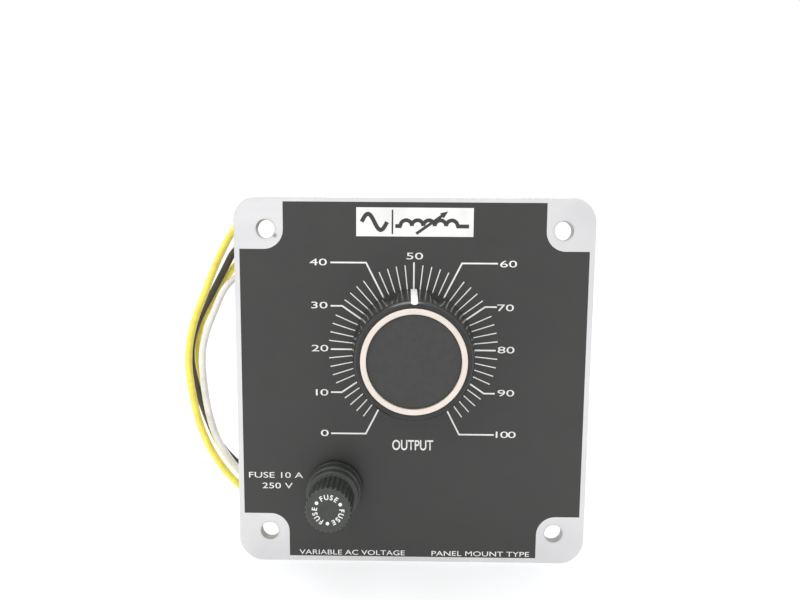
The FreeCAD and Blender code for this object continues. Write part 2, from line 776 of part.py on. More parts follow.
def terminals():
    """Four riveted tabs, and the push-on terminals of the leads in their nylon sleeves."""
    tab_back = "board_back + tab_thickness"
    tabs = []
    rivets = []
    sockets = []
    for z in TERMINAL_OFFSETS:
        strip = box(("tab_start", "tab_end"), ("board_back", tab_back),
                    (f"{z} - tab_half_width", f"{z} + tab_half_width"))
        tabs.append(cut(strip, disc("rivet_radius", "board_front", f"{tab_back} + past", "rivet_circle", z)))
        shank = disc("rivet_radius", "board_front", tab_back, "rivet_circle", z)
        front_head = disc("rivet_head_radius", "board_front - rivet_head_height", "board_front", "rivet_circle", z)
        back_head = disc("rivet_head_radius", tab_back, f"{tab_back} + rivet_head_height", "rivet_circle", z)
        rivets.append(union(shank, front_head, back_head))
        sleeve = box(("socket_start", "socket_end"), ("board_back - socket_wall", f"{tab_back} + socket_wall"),
                     (f"{z} - socket_half_width", f"{z} + socket_half_width"))
        slot = box(("socket_start - past", "socket_slot_end"),
                   ("board_back - socket_slot_gap", f"{tab_back} + socket_slot_gap"),
                   (f"{z} - socket_slot_half", f"{z} + socket_slot_half"))
        sockets.append(cut(sleeve, slot))
    keep("terminal_tabs", on_dial(group(*tabs), BOARD_ANGLE))
    keep("terminal_rivets", on_dial(group(*rivets), BOARD_ANGLE))
    keep("lead_sockets", on_dial(group(*sockets), BOARD_ANGLE))


# ---------------------------------------------------------------- fuse holder

def fuse_holder():
    """Panel fuse holder: flange and barrel in one, gasket, washer and nut."""
    flange = disc("fuse_flange_radius", "fuse_flange_front", "gasket_front")
    barrel = disc("fuse_barrel_radius", "fuse_flange_front", "fuse_back")
    bore = disc("fuse_bore", "fuse_flange_front - past", "fuse_bore_back")
    rear_hole = disc("fuse_rear_hole", "fuse_bore_back - past", "fuse_back + past")
    window = box(("window_start", "window_end"), ("window_front", "window_back"), ("-window_half", "window_half"))
    solid = union(flange, barrel)
    keep("fuse_body", on_fuse(cut(solid, bore, rear_hole, window), FUSE_TERMINAL_ANGLE))
    keep("fuse_gasket", on_fuse(ring("gasket_radius", "fuse_hole_radius", "gasket_front", "-plate_thickness")))
    inside = "fuse_barrel_radius + thread_gap"
    nut = hexagon("fuse_nut_radius", "fuse_washer_back", "fuse_nut_back")
    keep("fuse_nut", on_fuse(cut(nut, disc(inside, "0", "fuse_nut_back + past"))))
    keep("fuse_nut_washer", on_fuse(ring("fuse_washer_radius", inside, "0", "fuse_washer_back")))


def fuse_contacts():
    """Side and end solder tabs of the fuse holder, and the spring that presses the cartridge forward."""
    tab = box(("side_tab_start", "side_tab_end"), ("side_tab_front", "side_tab_back"),
              ("-side_tab_half", "side_tab_half"))
    contact = box(("side_tab_start", "contact_end"), ("contact_front", "side_tab_back"),
                  ("-contact_half", "contact_half"))
    eye = disc("tab_eye_radius", "side_tab_front - past", "side_tab_back + past", "side_eye_at")
    keep("fuse_side_terminal", on_fuse(cut(union(tab, contact), eye), FUSE_TERMINAL_ANGLE))
    tongue = box(("-tongue_half", "tongue_half"), ("fuse_back", "tongue_back"), ("tongue_bottom", "tongue_top"))
    end = union(disc("end_pin_radius", "end_pin_front", "fuse_back"),
                disc("end_plate_radius", "fuse_back", "end_plate_back"), tongue)
    end_eye = upright("tab_eye_radius", "tongue_bottom - past", "tongue_top + past", "end_eye_at")
    keep("fuse_end_terminal", on_fuse(cut(end, end_eye)))
    spring = coil_spring("fuse_spring_radius", "fuse_spring_wire", "fuse_spring_pitch", "fuse_spring_height")
    keep("fuse_spring", place(spring, "fuse_x", "fuse_spring_front", "fuse_z", AWAY))


def cartridge():
    """Glass cartridge fuse: tube, two end caps and the wire element between them."""
    keep("fuse_glass", on_fuse(ring("glass_outer", "glass_inner", "cartridge_front + glass_inset",
                                    "cartridge_back - glass_inset")))
    inner_wall = "cartridge_radius - end_cap_wall"
    front_edge = "cartridge_front + end_cap_length"
    back_edge = "cartridge_back - end_cap_length"
    front_face = "cartridge_front + end_cap_face"
    back_face = "cartridge_back - end_cap_face"
    front_cap = union(ring("cartridge_radius", inner_wall, "cartridge_front", front_edge),
                      disc("cartridge_radius", "cartridge_front", front_face))
    back_cap = union(ring("cartridge_radius", inner_wall, back_edge, "cartridge_back"),
                     disc("cartridge_radius", back_face, "cartridge_back"))
    keep("fuse_end_caps", on_fuse(group(front_cap, back_cap)))
    keep("fuse_element", on_fuse(disc("element_radius", front_face, back_face)))


def fuse_cap():
    """Fluted cap: skirt, collar, a grip with fine grooves, and a stem in the barrel that holds the cartridge."""
    grip = turned_body("Grip", [
        ("0", "-cap_back"), ("cap_skirt_radius", "-cap_back"), ("cap_skirt_radius", "-cap_skirt_front"),
        ("cap_collar_radius", "-cap_skirt_front"), ("cap_collar_radius", "-cap_collar_front"),
        ("grip_radius", "-cap_collar_front"), ("grip_radius", "grip_edge - cap_front"),
        ("grip_radius - grip_edge", "-cap_front"), ("0", "-cap_front")])
    stem = disc("stem_radius", "clip_front", "stem_back")
    clip = disc("clip_radius", "clip_front", "stem_back + past")
    pitch = 360.0 / CAP_GROOVES
    grooves = around(lambda: disc("groove_radius", "-cap_front - past", "-cap_collar_front", "groove_circle"),
                     [step * pitch for step in range(CAP_GROOVES)])
    keep("fuse_cap", on_fuse(cut(union(grip, stem), clip, *grooves)))


# ---------------------------------------------------------------- wires

def wire_path(points):
    """Straight runs joined by tangent arcs, each arc as large as its two runs allow."""
    corners = [FreeCAD.Vector(*point) for point in points]
    edges = []
    here = corners[0]
    for a, b, c in zip(corners, corners[1:], corners[2:]):
        back = a.sub(b)
        ahead = c.sub(b)
        reach = 0.45 * min(back.Length, ahead.Length)
        half_turn = (math.pi - back.getAngle(ahead)) / 2
        radius = reach / math.tan(half_turn)
        back.normalize()
        ahead.normalize()
        start = b + back * reach
        end = b + ahead * reach
        inward = (back + ahead).normalize()
        middle = b + inward * (radius / math.cos(half_turn) - radius)
        edges.append(Part.LineSegment(here, start).toShape())
        edges.append(Part.Arc(start, middle, end).toShape())
        here = end
    edges.append(Part.LineSegment(here, corners[-1]).toShape())
    return Part.Wire(edges)


def round_wire(node, points, diameter):
    """Round wire along a route; its volume has to be its section times its length."""
    path = wire_path(points)
    start = FreeCAD.Vector(*points[0])
    along = FreeCAD.Vector(*points[1]) - start
    section = Part.Circle(start, along, diameter / 2).toShape()
    wire = doc.addObject("Part::Feature", node)
    wire.Shape = path.makePipeShell([Part.Wire(section)], True, True)
    expected = math.pi * diameter ** 2 / 4 * path.Length
    if abs(wire.Shape.Volume / expected - 1) > 0.01:
        raise RuntimeError(f"{node} has the wrong volume")
    print(f"{node}: length {path.Length:.1f} mm")
    keep(node, wire)


LEAD_ROUTES = {
    "lead_yellow_outer": [
        (-43.8, 28.0, 48.0), (-47.2, 28.0, 50.1), (-50.6, 27.9, 54.2), (-55.0, 27.4, 56.3), (-60.2, 26.4, 55.4),
        (-64.0, 25.2, 51.6), (-66.8, 23.7, 46.6), (-70.3, 21.8, 38.6), (-74.0, 18.9, 27.4), (-77.7, 16.5, 16.8),
        (-79.4, 15.0, 4.6), (-77.7, 14.2, -7.8), (-75.2, 14.0, -19.6), (-70.0, 14.2, -31.4), (-62.0, 15.2, -41.8),
        (-51.3, 16.4, -50.8), (-39.1, 17.6, -57.2), (-25.2, 18.0, -58.8), (-11.2, 17.0, -58.7), (3.0, 15.6, -58.8),
        (16.6, 16.0, -58.7), (29.4, 18.6, -58.8)],
    "lead_black": [
        (-47.0, 28.0, 42.4), (-52.2, 28.1, 45.0), (-58.8, 27.7, 46.6), (-64.9, 26.4, 43.6), (-68.4, 25.0, 36.0),
        (-72.9, 24.4, 27.4), (-78.2, 23.3, 17.4), (-81.1, 22.0, 6.0), (-78.5, 20.4, -6.0), (-74.7, 20.2, -17.8),
        (-70.3, 20.8, -29.0), (-61.4, 22.4, -38.8), (-51.4, 25.0, -47.8), (-40.6, 27.8, -55.2), (-28.0, 29.2, -58.8),
        (-14.4, 29.4, -58.7), (-1.0, 27.8, -58.8), (11.6, 28.0, -58.7), (23.2, 30.8, -58.8)],
    "lead_yellow_inner": [
        (-50.3, 28.0, 36.8), (-54.6, 28.1, 39.2), (-59.8, 28.6, 40.5), (-64.5, 28.6, 38.6), (-67.8, 28.0, 34.4),
        (-70.3, 27.8, 29.2), (-74.0, 27.2, 23.6), (-77.9, 26.6, 17.0), (-79.7, 25.8, 8.0), (-78.5, 25.2, -3.8),
        (-76.8, 25.2, -15.8), (-74.0, 26.0, -27.4), (-67.8, 27.8, -37.6), (-58.0, 30.4, -46.8), (-45.9, 33.2, -54.8),
        (-29.0, 35.0, -58.8), (-15.4, 35.2, -58.7), (-2.0, 33.8, -58.8), (10.4, 34.4, -58.7), (21.8, 37.4, -58.8)],
    "lead_white": [
        (-53.5, 28.0, 31.2), (-57.0, 27.9, 33.3), (-61.0, 27.2, 34.2), (-65.6, 24.9, 32.6), (-68.6, 22.0, 28.0),
        (-70.7, 20.4, 22.0), (-73.6, 19.6, 14.8), (-75.7, 19.2, 6.4), (-75.1, 18.4, -3.6), (-73.4, 17.6, -14.8),
        (-70.4, 17.4, -25.4), (-64.3, 18.2, -35.8), (-55.5, 19.8, -44.8), (-45.4, 21.8, -52.6), (-33.6, 23.4, -57.8),
        (-20.6, 23.8, -58.8), (-7.4, 22.8, -58.7), (5.4, 21.6, -58.8), (17.4, 22.2, -58.7), (28.2, 24.8, -58.8)],
}


def leads():
    """Four fly leads with tinned ends: black and white for the line, the yellow pair for the output."""
    for node, route in LEAD_ROUTES.items():
        round_wire(node, route, LEAD_DIAMETER)
        end = FreeCAD.Vector(*route[-1])
        along = end - FreeCAD.Vector(*route[-2])
        tip = doc.addObject("Part::Feature", f"{node}_tip")
        tip.Shape = Part.makeCylinder(STRIPPED_DIAMETER / 2, STRIPPED_LENGTH, end, along)
        keep(f"{node}_end", tip)


JUMPER_ROUTES = {
    "jumper_line": [
        (-35.8, 29.4, 35.9), (-38.2, 31.4, 32.4), (-41.4, 33.2, 26.6), (-44.4, 33.6, 18.0), (-45.8, 33.6, 7.6),
        (-46.2, 32.6, -3.4), (-46.4, 29.4, -14.0), (-45.6, 24.4, -22.4), (-43.6, 18.2, -28.8), (-41.4, 13.6, -32.8),
        (-39.0, 11.9, -34.3)],
    "jumper_fuse": [
        (-25.2, 41.6, -33.8), (-21.9, 41.2, -33.9), (-17.8, 39.0, -34.6), (-13.6, 35.0, -34.4), (-10.2, 30.4, -33.4),
        (-7.8, 26.6, -31.8), (-6.4, 24.0, -29.9)],
    "jumper_output": [
        (0.0, 39.4, -33.0), (-4.8, 39.3, -33.4), (-11.8, 38.0, -31.8), (-20.8, 37.0, -27.6), (-30.0, 36.8, -20.8),
        (-37.4, 36.8, -11.2), (-42.2, 36.8, 0.0), (-43.8, 36.8, 11.6), (-42.2, 36.4, 22.8), (-39.0, 35.4, 31.2),
        (-35.4, 33.2, 37.6), (-33.5, 31.0, 40.1), (-32.4, 29.4, 42.0)],
    "jumper_neutral": [
        (-35.4, 20.0, -13.0), (-38.2, 21.4, -11.2), (-41.8, 24.2, -5.6), (-43.9, 27.2, 2.4), (-44.8, 29.4, 10.4),
        (-44.0, 30.0, 17.4), (-42.4, 29.6, 22.0), (-41.4, 29.4, 24.6)],
}


def jumpers():
    """Short wires inside: line tab to fuse, fuse to winding, collector to output tab, winding to neutral tab."""
    for node, route in JUMPER_ROUTES.items():
        round_wire(node, route, JUMPER_DIAMETER)


# ---------------------------------------------------------------- checks and export

def check_and_export():
    """Stop on any failed object, then write one file for each sub-part."""
    doc.recompute()
    failed = [item.Label for item in doc.Objects if "Invalid" in item.State or "Error" in item.State]
    if failed:
        raise RuntimeError(f"failed objects: {failed}")
    for node, thing in nodes.items():
        shape = thing.Shape
        if shape.isNull() or not shape.isValid() or not shape.Solids:
            raise RuntimeError(f"{node} has no valid solid")
    os.makedirs("parts", exist_ok=True)
    for node, thing in nodes.items():
        thing.Shape.exportStep(f"parts/{node}.step")
    print(f"{len(nodes)} sub-parts written")


face_plate()
base_casting()
stud_hardware()
bushings()
coil()
coil_clamp()
collector()
shaft()
brush_arm()
brush_parts()
collector_finger()
knob()
knob_trim()
terminal_board()
terminals()
fuse_holder()
fuse_contacts()
cartridge()
fuse_cap()
leads()
jumpers()
check_and_export()
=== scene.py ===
import json
import math

import bmesh
import bpy
from mathutils import Matrix, Vector


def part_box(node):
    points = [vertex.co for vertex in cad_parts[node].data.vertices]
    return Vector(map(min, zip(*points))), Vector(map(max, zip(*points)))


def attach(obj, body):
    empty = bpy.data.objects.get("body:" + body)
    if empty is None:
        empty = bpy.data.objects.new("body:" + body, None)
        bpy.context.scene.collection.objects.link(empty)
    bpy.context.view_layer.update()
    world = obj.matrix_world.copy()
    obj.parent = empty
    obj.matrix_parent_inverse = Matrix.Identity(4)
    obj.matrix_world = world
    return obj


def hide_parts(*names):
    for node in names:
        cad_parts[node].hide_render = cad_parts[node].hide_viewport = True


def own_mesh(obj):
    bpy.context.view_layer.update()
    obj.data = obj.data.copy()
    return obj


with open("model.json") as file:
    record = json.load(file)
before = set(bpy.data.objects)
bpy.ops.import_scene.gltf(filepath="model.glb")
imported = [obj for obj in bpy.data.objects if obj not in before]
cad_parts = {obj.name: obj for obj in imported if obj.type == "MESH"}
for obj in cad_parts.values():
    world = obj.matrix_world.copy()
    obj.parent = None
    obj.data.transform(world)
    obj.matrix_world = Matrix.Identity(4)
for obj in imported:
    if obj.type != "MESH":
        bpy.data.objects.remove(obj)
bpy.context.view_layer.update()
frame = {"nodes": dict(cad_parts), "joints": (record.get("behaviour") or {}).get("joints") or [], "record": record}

MM = 0.001
JOINTS = {joint["name"]: joint for joint in frame["joints"]}
DIAL = Vector(JOINTS["dial_turn"]["pos_m"])
FUSE = Vector(JOINTS["fuse_cap_turn"]["pos_m"])
PLATE_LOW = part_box("face_plate")[0]
FRONT = PLATE_LOW.y
FLOOR = PLATE_LOW.z

# The same places in millimetres.
DIAL_X, DIAL_Z = DIAL.x / MM, DIAL.z / MM
FUSE_X, FUSE_Z = FUSE.x / MM, FUSE.z / MM
FRONT_Y = FRONT / MM

# Turns a mesh that lies in X and Y to stand in X and Z, facing the front.
UPRIGHT = Matrix(((1, 0, 0, 0), (0, 0, -1, 0), (0, 1, 0, 0), (0, 0, 0, 1)))


def linked(name, data):
    """A new object, linked into the scene."""
    item = bpy.data.objects.new(name, data)
    bpy.context.scene.collection.objects.link(item)
    return item


def aimed(place, target):
    """Matrix of a camera or light that stands at place and looks at target."""
    look = (Vector(target) - Vector(place)).to_track_quat("-Z", "Y").to_matrix().to_4x4()
    return Matrix.Translation(Vector(place)) @ look


# ------------------------------------------------------------------ camera, light and floor

SENSOR_WIDTH = 36.0
LENS = 27.9
SHIFT_Y = 0.0237
CAMERA_PLACE = (-2.3, -200.1, 42.92)
CAMERA_TARGET = (-4.32, -1.29, 21.26)
CAMERA_ROLL = 0.43
CLIP_START = 0.01
SHEET_REACH = 6.0


def camera():
    """Camera in front of the plate, a little above its middle, looking slightly down."""
    data = bpy.data.cameras.new("camera")
    data.sensor_width = SENSOR_WIDTH
    data.lens = LENS
    data.clip_start = CLIP_START
    data.shift_y = SHIFT_Y
    view = linked("camera", data)
    roll = Matrix.Rotation(math.radians(CAMERA_ROLL), 4, "Z")
    view.matrix_world = aimed(Vector(CAMERA_PLACE) * MM, Vector(CAMERA_TARGET) * MM) @ roll
    bpy.context.scene.camera = view


def area_light(name, place, size, energy):
    """Round soft light, aimed at the middle of the plate."""
    data = bpy.data.lights.new(name, "AREA")
    data.shape = "DISK"
    data.size = size
    data.energy = energy
    linked(name, data).matrix_world = aimed(place, (0.0, 0.0, 0.0))


def studio():
    """Even white surroundings, a wide soft light above, a weak one at the front left and a white sheet below."""
    world = bpy.data.worlds.new("studio")
    bpy.context.scene.world = world
    world.use_nodes = True
    sky = world.node_tree.nodes["Background"]
    sky.inputs["Color"].default_value = (0.985, 0.995, 1.0, 1.0)
    sky.inputs["Strength"].default_value = 1.06
    area_light("top_light", (-0.15, 0.25, 1.1), 0.7, 6.0)
    area_light("front_light", (-0.6, -1.0, 0.7), 0.8, 2.5)
    bpy.context.scene.view_settings.view_transform = "Standard"
    corners = [(x * SHEET_REACH, y * SHEET_REACH, FLOOR) for x, y in ((-1, -1), (1, -1), (1, 1), (-1, 1))]
    mesh = bpy.data.meshes.new("floor")
    mesh.from_pydata(corners, [], [(0, 1, 2, 3)])
    mesh.materials.append(pale_sheet())
    floor = linked("floor", mesh)


# ------------------------------------------------------------------ materials

HOLE_X = 47.03
HOLE_Z = 49.7
HOLE_RADIUS = 3.0
ROUGHNESS_SPREAD = 0.07


def new_material(name):
    """Empty procedural material with its shader and object coordinates."""
    material = bpy.data.materials.new(name)
    material.use_nodes = True
    tree = material.node_tree
    shader = tree.nodes["Principled BSDF"]
    coords = tree.nodes.new("ShaderNodeTexCoord").outputs["Object"]
    return material, tree, shader, coords


def noise(tree, coords, scale, detail=4.0, stretch=(1, 1, 1), distortion=0.0):
    """Noise of a scale per metre, stretched along the axes."""
    mapping = tree.nodes.new("ShaderNodeMapping")
    mapping.inputs["Scale"].default_value = stretch
    tree.links.new(coords, mapping.inputs["Vector"])
    node = tree.nodes.new("ShaderNodeTexNoise")
    node.inputs["Scale"].default_value = scale
    node.inputs["Detail"].default_value = detail
    node.inputs["Distortion"].default_value = distortion
    tree.links.new(mapping.outputs["Vector"], node.inputs["Vector"])
    return node.outputs["Fac"]


def ramp(tree, factor, stops):
    """Colour ramp between two stops, each (position, colour)."""
    node = tree.nodes.new("ShaderNodeValToRGB")
    for element, (position, colour) in zip(node.color_ramp.elements, stops):
        element.position = position
        element.color = (*colour, 1.0)
    tree.links.new(factor, node.inputs["Fac"])
    return node.outputs["Color"]


def spread(tree, factor, low, high, start=0.3, end=0.7):
    """A factor, its range from start to end mapped to low to high."""
    node = tree.nodes.new("ShaderNodeMapRange")
    node.inputs["From Min"].default_value = start
    node.inputs["From Max"].default_value = end
    node.inputs["To Min"].default_value = low
    node.inputs["To Max"].default_value = high
    tree.links.new(factor, node.inputs["Value"])
    return node.outputs["Result"]


def product(tree, first, second):
    """Product of two factors."""
    node = tree.nodes.new("ShaderNodeMath")
    node.operation = "MULTIPLY"
    tree.links.new(first, node.inputs[0])
    tree.links.new(second, node.inputs[1])
    return node.outputs["Value"]


def mixed(tree, factor, first, second):
    """Colour between two; each is a socket or a plain colour."""
    node = tree.nodes.new("ShaderNodeMix")
    node.data_type = "RGBA"
    tree.links.new(factor, node.inputs["Factor"])
    for socket, value in ((node.inputs[6], first), (node.inputs[7], second)):
        if isinstance(value, tuple):
            socket.default_value = (*value, 1.0)
        else:
            tree.links.new(value, socket)
    return node.outputs[2]


def mottled(tree, factor, colour, tint, start=0.3, end=0.7):
    """A colour that a factor takes from a darker to a lighter shade."""
    dark = tuple(c * (1 - tint) for c in colour)
    light = tuple(min(1.0, c * (1 + tint)) for c in colour)
    return ramp(tree, factor, ((start, dark), (end, light)))


def surfaced(tree, shader, colour, rough, metallic=0.0):
    """Give the shader its colour, its roughness and how metallic it is."""
    tree.links.new(colour, shader.inputs["Base Color"])
    tree.links.new(rough, shader.inputs["Roughness"])
    shader.inputs["Metallic"].default_value = metallic


def bumped(tree, shader, height, strength, distance):
    """Bump on the shader's normal; distance in millimetres."""
    node = tree.nodes.new("ShaderNodeBump")
    node.inputs["Strength"].default_value = strength
    node.inputs["Distance"].default_value = distance * MM
    tree.links.new(height, node.inputs["Height"])
    tree.links.new(node.outputs["Normal"], shader.inputs["Normal"])


def plain(name, colour, roughness, metallic=0.0, tint=0.12, grain=(1500, 0.02, 0.3), blotch=90,
          stretch=(1, 1, 1), coat=0.0):
    """Material with mottled colour, uneven roughness and a fine grain; grain is (scale, depth mm, strength)."""
    material, tree, shader, coords = new_material(name)
    scale, depth, strength = grain
    patches = noise(tree, coords, blotch, 5.0, stretch)
    fine = noise(tree, coords, scale, 3.0, stretch)
    rough = spread(tree, fine, roughness - ROUGHNESS_SPREAD, roughness + ROUGHNESS_SPREAD)
    surfaced(tree, shader, mottled(tree, patches, colour, tint), rough, metallic)
    bumped(tree, shader, fine, strength, depth)
    shader.inputs["Coat Weight"].default_value = coat
    shader.inputs["Coat Roughness"].default_value = 0.15
    return material


def distance_from(tree, coords, centre):
    """Distance of a point from an axis along Y through centre."""
    node = tree.nodes.new("ShaderNodeVectorMath")
    node.operation = "MULTIPLY_ADD"
    node.inputs[1].default_value = (1.0, 0.0, 1.0)
    node.inputs[2].default_value = (-centre[0], 0.0, -centre[1])
    tree.links.new(coords, node.inputs[0])
    length = tree.nodes.new("ShaderNodeVectorMath")
    length.operation = "LENGTH"
    tree.links.new(node.outputs["Vector"], length.inputs[0])
    return length.outputs["Value"]


def pale_sheet():
    """White sheet lit through from below, so that shadows on it stay faint."""
    material = plain("floor", (0.40, 0.40, 0.405), 0.95, tint=0.01, grain=(60, 0.02, 0.1))
    shader = material.node_tree.nodes["Principled BSDF"]
    shader.inputs["Emission Color"].default_value = (0.99, 0.995, 1.0, 1.0)
    shader.inputs["Emission Strength"].default_value = 0.66
    shader.inputs["Specular IOR Level"].default_value = 0.1
    return material


def satin_plate():
    """Satin aluminium with fine rolling lines, painted shade darkening the wall and rim of each corner hole, and
    one small dark mark.
    """
    material, tree, shader, coords = new_material("satin_aluminium")
    lines = noise(tree, coords, 900, 3.0, (0.04, 1, 1))
    cloud = noise(tree, coords, 45, 5.0, (1, 1, 1), 0.6)
    colour = ramp(tree, cloud, ((0.3, (0.66, 0.655, 0.66)), (0.7, (0.73, 0.725, 0.73))))
    # Each entry: x, z, radius and how far it fades, in millimetres, and its strength. The first is a small dark
    # mark; the rest are painted shade, a faint ring round each corner hole and a dark band over its wall and rim.
    hole_shade_and_mark = [(-44.1, 47.7, 0.15, 0.8, 1.5)]
    for x in (-HOLE_X, HOLE_X):
        for z in (-HOLE_Z, HOLE_Z):
            # Painted shade at each corner hole: a faint grey ring round it, and a dark band over its wall and rim.
            hole_shade_and_mark += [(x, z, HOLE_RADIUS, 0.9, 0.18), (x, z, HOLE_RADIUS + 0.03, 0.12, 1.2)]
    for x, z, radius, fade, strength in hole_shade_and_mark:
        away = distance_from(tree, coords, (x * MM, z * MM))
        near = spread(tree, away, 1.0, 0.0, radius * MM, (radius + fade) * MM)
        patchy = product(tree, near, spread(tree, cloud, 0.6 * strength, strength, 0.35, 0.6))
        # Darkens towards this grey: the small mark, and the painted shade at the corner holes.
        colour = mixed(tree, patchy, colour, (0.30, 0.31, 0.30))
    surfaced(tree, shader, colour, spread(tree, lines, 0.30, 0.44), 0.85)
    bumped(tree, shader, lines, 0.25, 0.02)
    return material


def ink(name, colour, roughness):
    """Printed ink: an even coat with a faint orange peel and slight wear."""
    material, tree, shader, coords = new_material(name)
    peel = noise(tree, coords, 1400, 2.0)
    wear = noise(tree, coords, 70, 6.0, (1, 1, 1), 0.8)
    surfaced(tree, shader, mottled(tree, wear, colour, 0.08, 0.35, 0.65),
             spread(tree, wear, roughness - 0.05, roughness + 0.08))
    bumped(tree, shader, peel, 0.12, 0.02)
    return material


def pebbled():
    """Matte black moulding with a fine pebble grain."""
    material, tree, shader, coords = new_material("black_pebble")
    cells = tree.nodes.new("ShaderNodeTexVoronoi")
    cells.feature = "SMOOTH_F1"
    cells.inputs["Scale"].default_value = 1700
    cells.inputs["Smoothness"].default_value = 0.6
    tree.links.new(coords, cells.inputs["Vector"])
    patches = noise(tree, coords, 500, 4.0)
    colour = ramp(tree, patches, ((0.3, (0.030, 0.031, 0.030)), (0.7, (0.048, 0.048, 0.046))))
    surfaced(tree, shader, colour, spread(tree, patches, 0.55, 0.75))
    bumped(tree, shader, cells.outputs["Distance"], 0.7, 0.12)
    return material


def moulding(name, colour, roughness, scratches=0.25, shine=0.5):
    """Glossy moulded phenolic with faint swirls, dulled patches and scratches; shine is its reflectance."""
    material, tree, shader, coords = new_material(name)
    swirl = noise(tree, coords, 160, 5.0, (1, 1, 1), 1.0)
    fine = noise(tree, coords, 2600, 2.0, (1, 0.15, 1))
    surfaced(tree, shader, mottled(tree, swirl, colour, 0.14, 0.35, 0.65),
             spread(tree, swirl, roughness - 0.03, roughness + 0.04))
    bumped(tree, shader, fine, scratches, 0.02)
    shader.inputs["Specular IOR Level"].default_value = shine
    return material


def radial_metal(name, colour, roughness, centre, metallic=0.95):
    """Turned metal whose tool marks run round an axis along Y."""
    material, tree, shader, coords = new_material(name)
    away = distance_from(tree, coords, centre)
    joined = tree.nodes.new("ShaderNodeCombineXYZ")
    tree.links.new(away, joined.inputs[0])
    marks = noise(tree, joined.outputs[0], 5000, 2.0)
    cloud = noise(tree, coords, 200, 4.0)
    surfaced(tree, shader, mottled(tree, cloud, colour, 0.05),
             spread(tree, marks, roughness - 0.06, roughness + 0.08), metallic)
    bumped(tree, shader, marks, 0.2, 0.01)
    return material


def copper_winding():
    """Enamelled copper, with the bared brush track on its back face."""
    material, tree, shader, coords = new_material("enamelled_copper")
    cloud = noise(tree, coords, 120, 5.0)
    enamel = ramp(tree, cloud, ((0.25, (0.30, 0.085, 0.025)), (0.75, (0.50, 0.17, 0.055))))
    away = distance_from(tree, coords, (DIAL.x, DIAL.z))
    inside = spread(tree, away, 0.0, 1.0, TRACK_INNER * MM, (TRACK_INNER + TRACK_EDGE) * MM)
    outside = spread(tree, away, 1.0, 0.0, (TRACK_OUTER - TRACK_EDGE) * MM, TRACK_OUTER * MM)
    separate = tree.nodes.new("ShaderNodeSeparateXYZ")
    tree.links.new(coords, separate.inputs[0])
    back = spread(tree, separate.outputs["Y"], 0.0, 1.0, (COIL_BACK - 0.6) * MM, (COIL_BACK - 0.3) * MM)
    track = product(tree, product(tree, inside, outside), back)
    bare = ramp(tree, noise(tree, coords, 900, 3.0), ((0.3, (0.62, 0.30, 0.17)), (0.7, (0.90, 0.52, 0.34))))
    fine = noise(tree, coords, 3000, 2.0)
    surfaced(tree, shader, mixed(tree, track, enamel, bare), spread(tree, fine, 0.22, 0.36), 0.9)
    bumped(tree, shader, fine, 0.15, 0.02)
    shader.inputs["Coat Weight"].default_value = 0.4
    shader.inputs["Coat Roughness"].default_value = 0.12
    return material


def laminate():
    """Brown phenolic sheet with a faint cloth weave."""
    material, tree, shader, coords = new_material("brown_phenolic")
    weave = tree.nodes.new("ShaderNodeTexChecker")
    weave.inputs["Scale"].default_value = 2200
    tree.links.new(coords, weave.inputs["Vector"])
    cloud = noise(tree, coords, 130, 6.0, (1, 1, 1), 0.5)
    colour = ramp(tree, cloud, ((0.3, (0.13, 0.052, 0.022)), (0.7, (0.24, 0.105, 0.045))))
    surfaced(tree, shader, colour, spread(tree, cloud, 0.32, 0.5))
    bumped(tree, shader, weave.outputs["Fac"], 0.12, 0.02)
    return material


def wire_cover(name, colour):
    """Extruded wire insulation: slightly waxy, with faint scuffs."""
    material, tree, shader, coords = new_material(name)
    scuff = noise(tree, coords, 260, 6.0, (1, 1, 1), 0.4)
    surfaced(tree, shader, mottled(tree, scuff, colour, 0.12, 0.3, 0.65), spread(tree, scuff, 0.32, 0.48))
    bumped(tree, shader, noise(tree, coords, 1800, 2.0), 0.12, 0.03)
    shader.inputs["Subsurface Weight"].default_value = 0.08
    shader.inputs["Subsurface Scale"].default_value = 0.6 * MM
    return material


def clear_glass():
    """Clear tube glass with a faint green tint and fine streaks."""
    material, tree, shader, coords = new_material("fuse_glass")
    streak = noise(tree, coords, 500, 3.0, (1, 0.1, 1))
    colour = ramp(tree, streak, ((0.3, (0.90, 0.97, 0.94)), (0.7, (0.97, 1.0, 0.98))))
    surfaced(tree, shader, colour, spread(tree, streak, 0.01, 0.05))
    shader.inputs["Transmission Weight"].default_value = 1.0
    shader.inputs["IOR"].default_value = 1.5
    return material


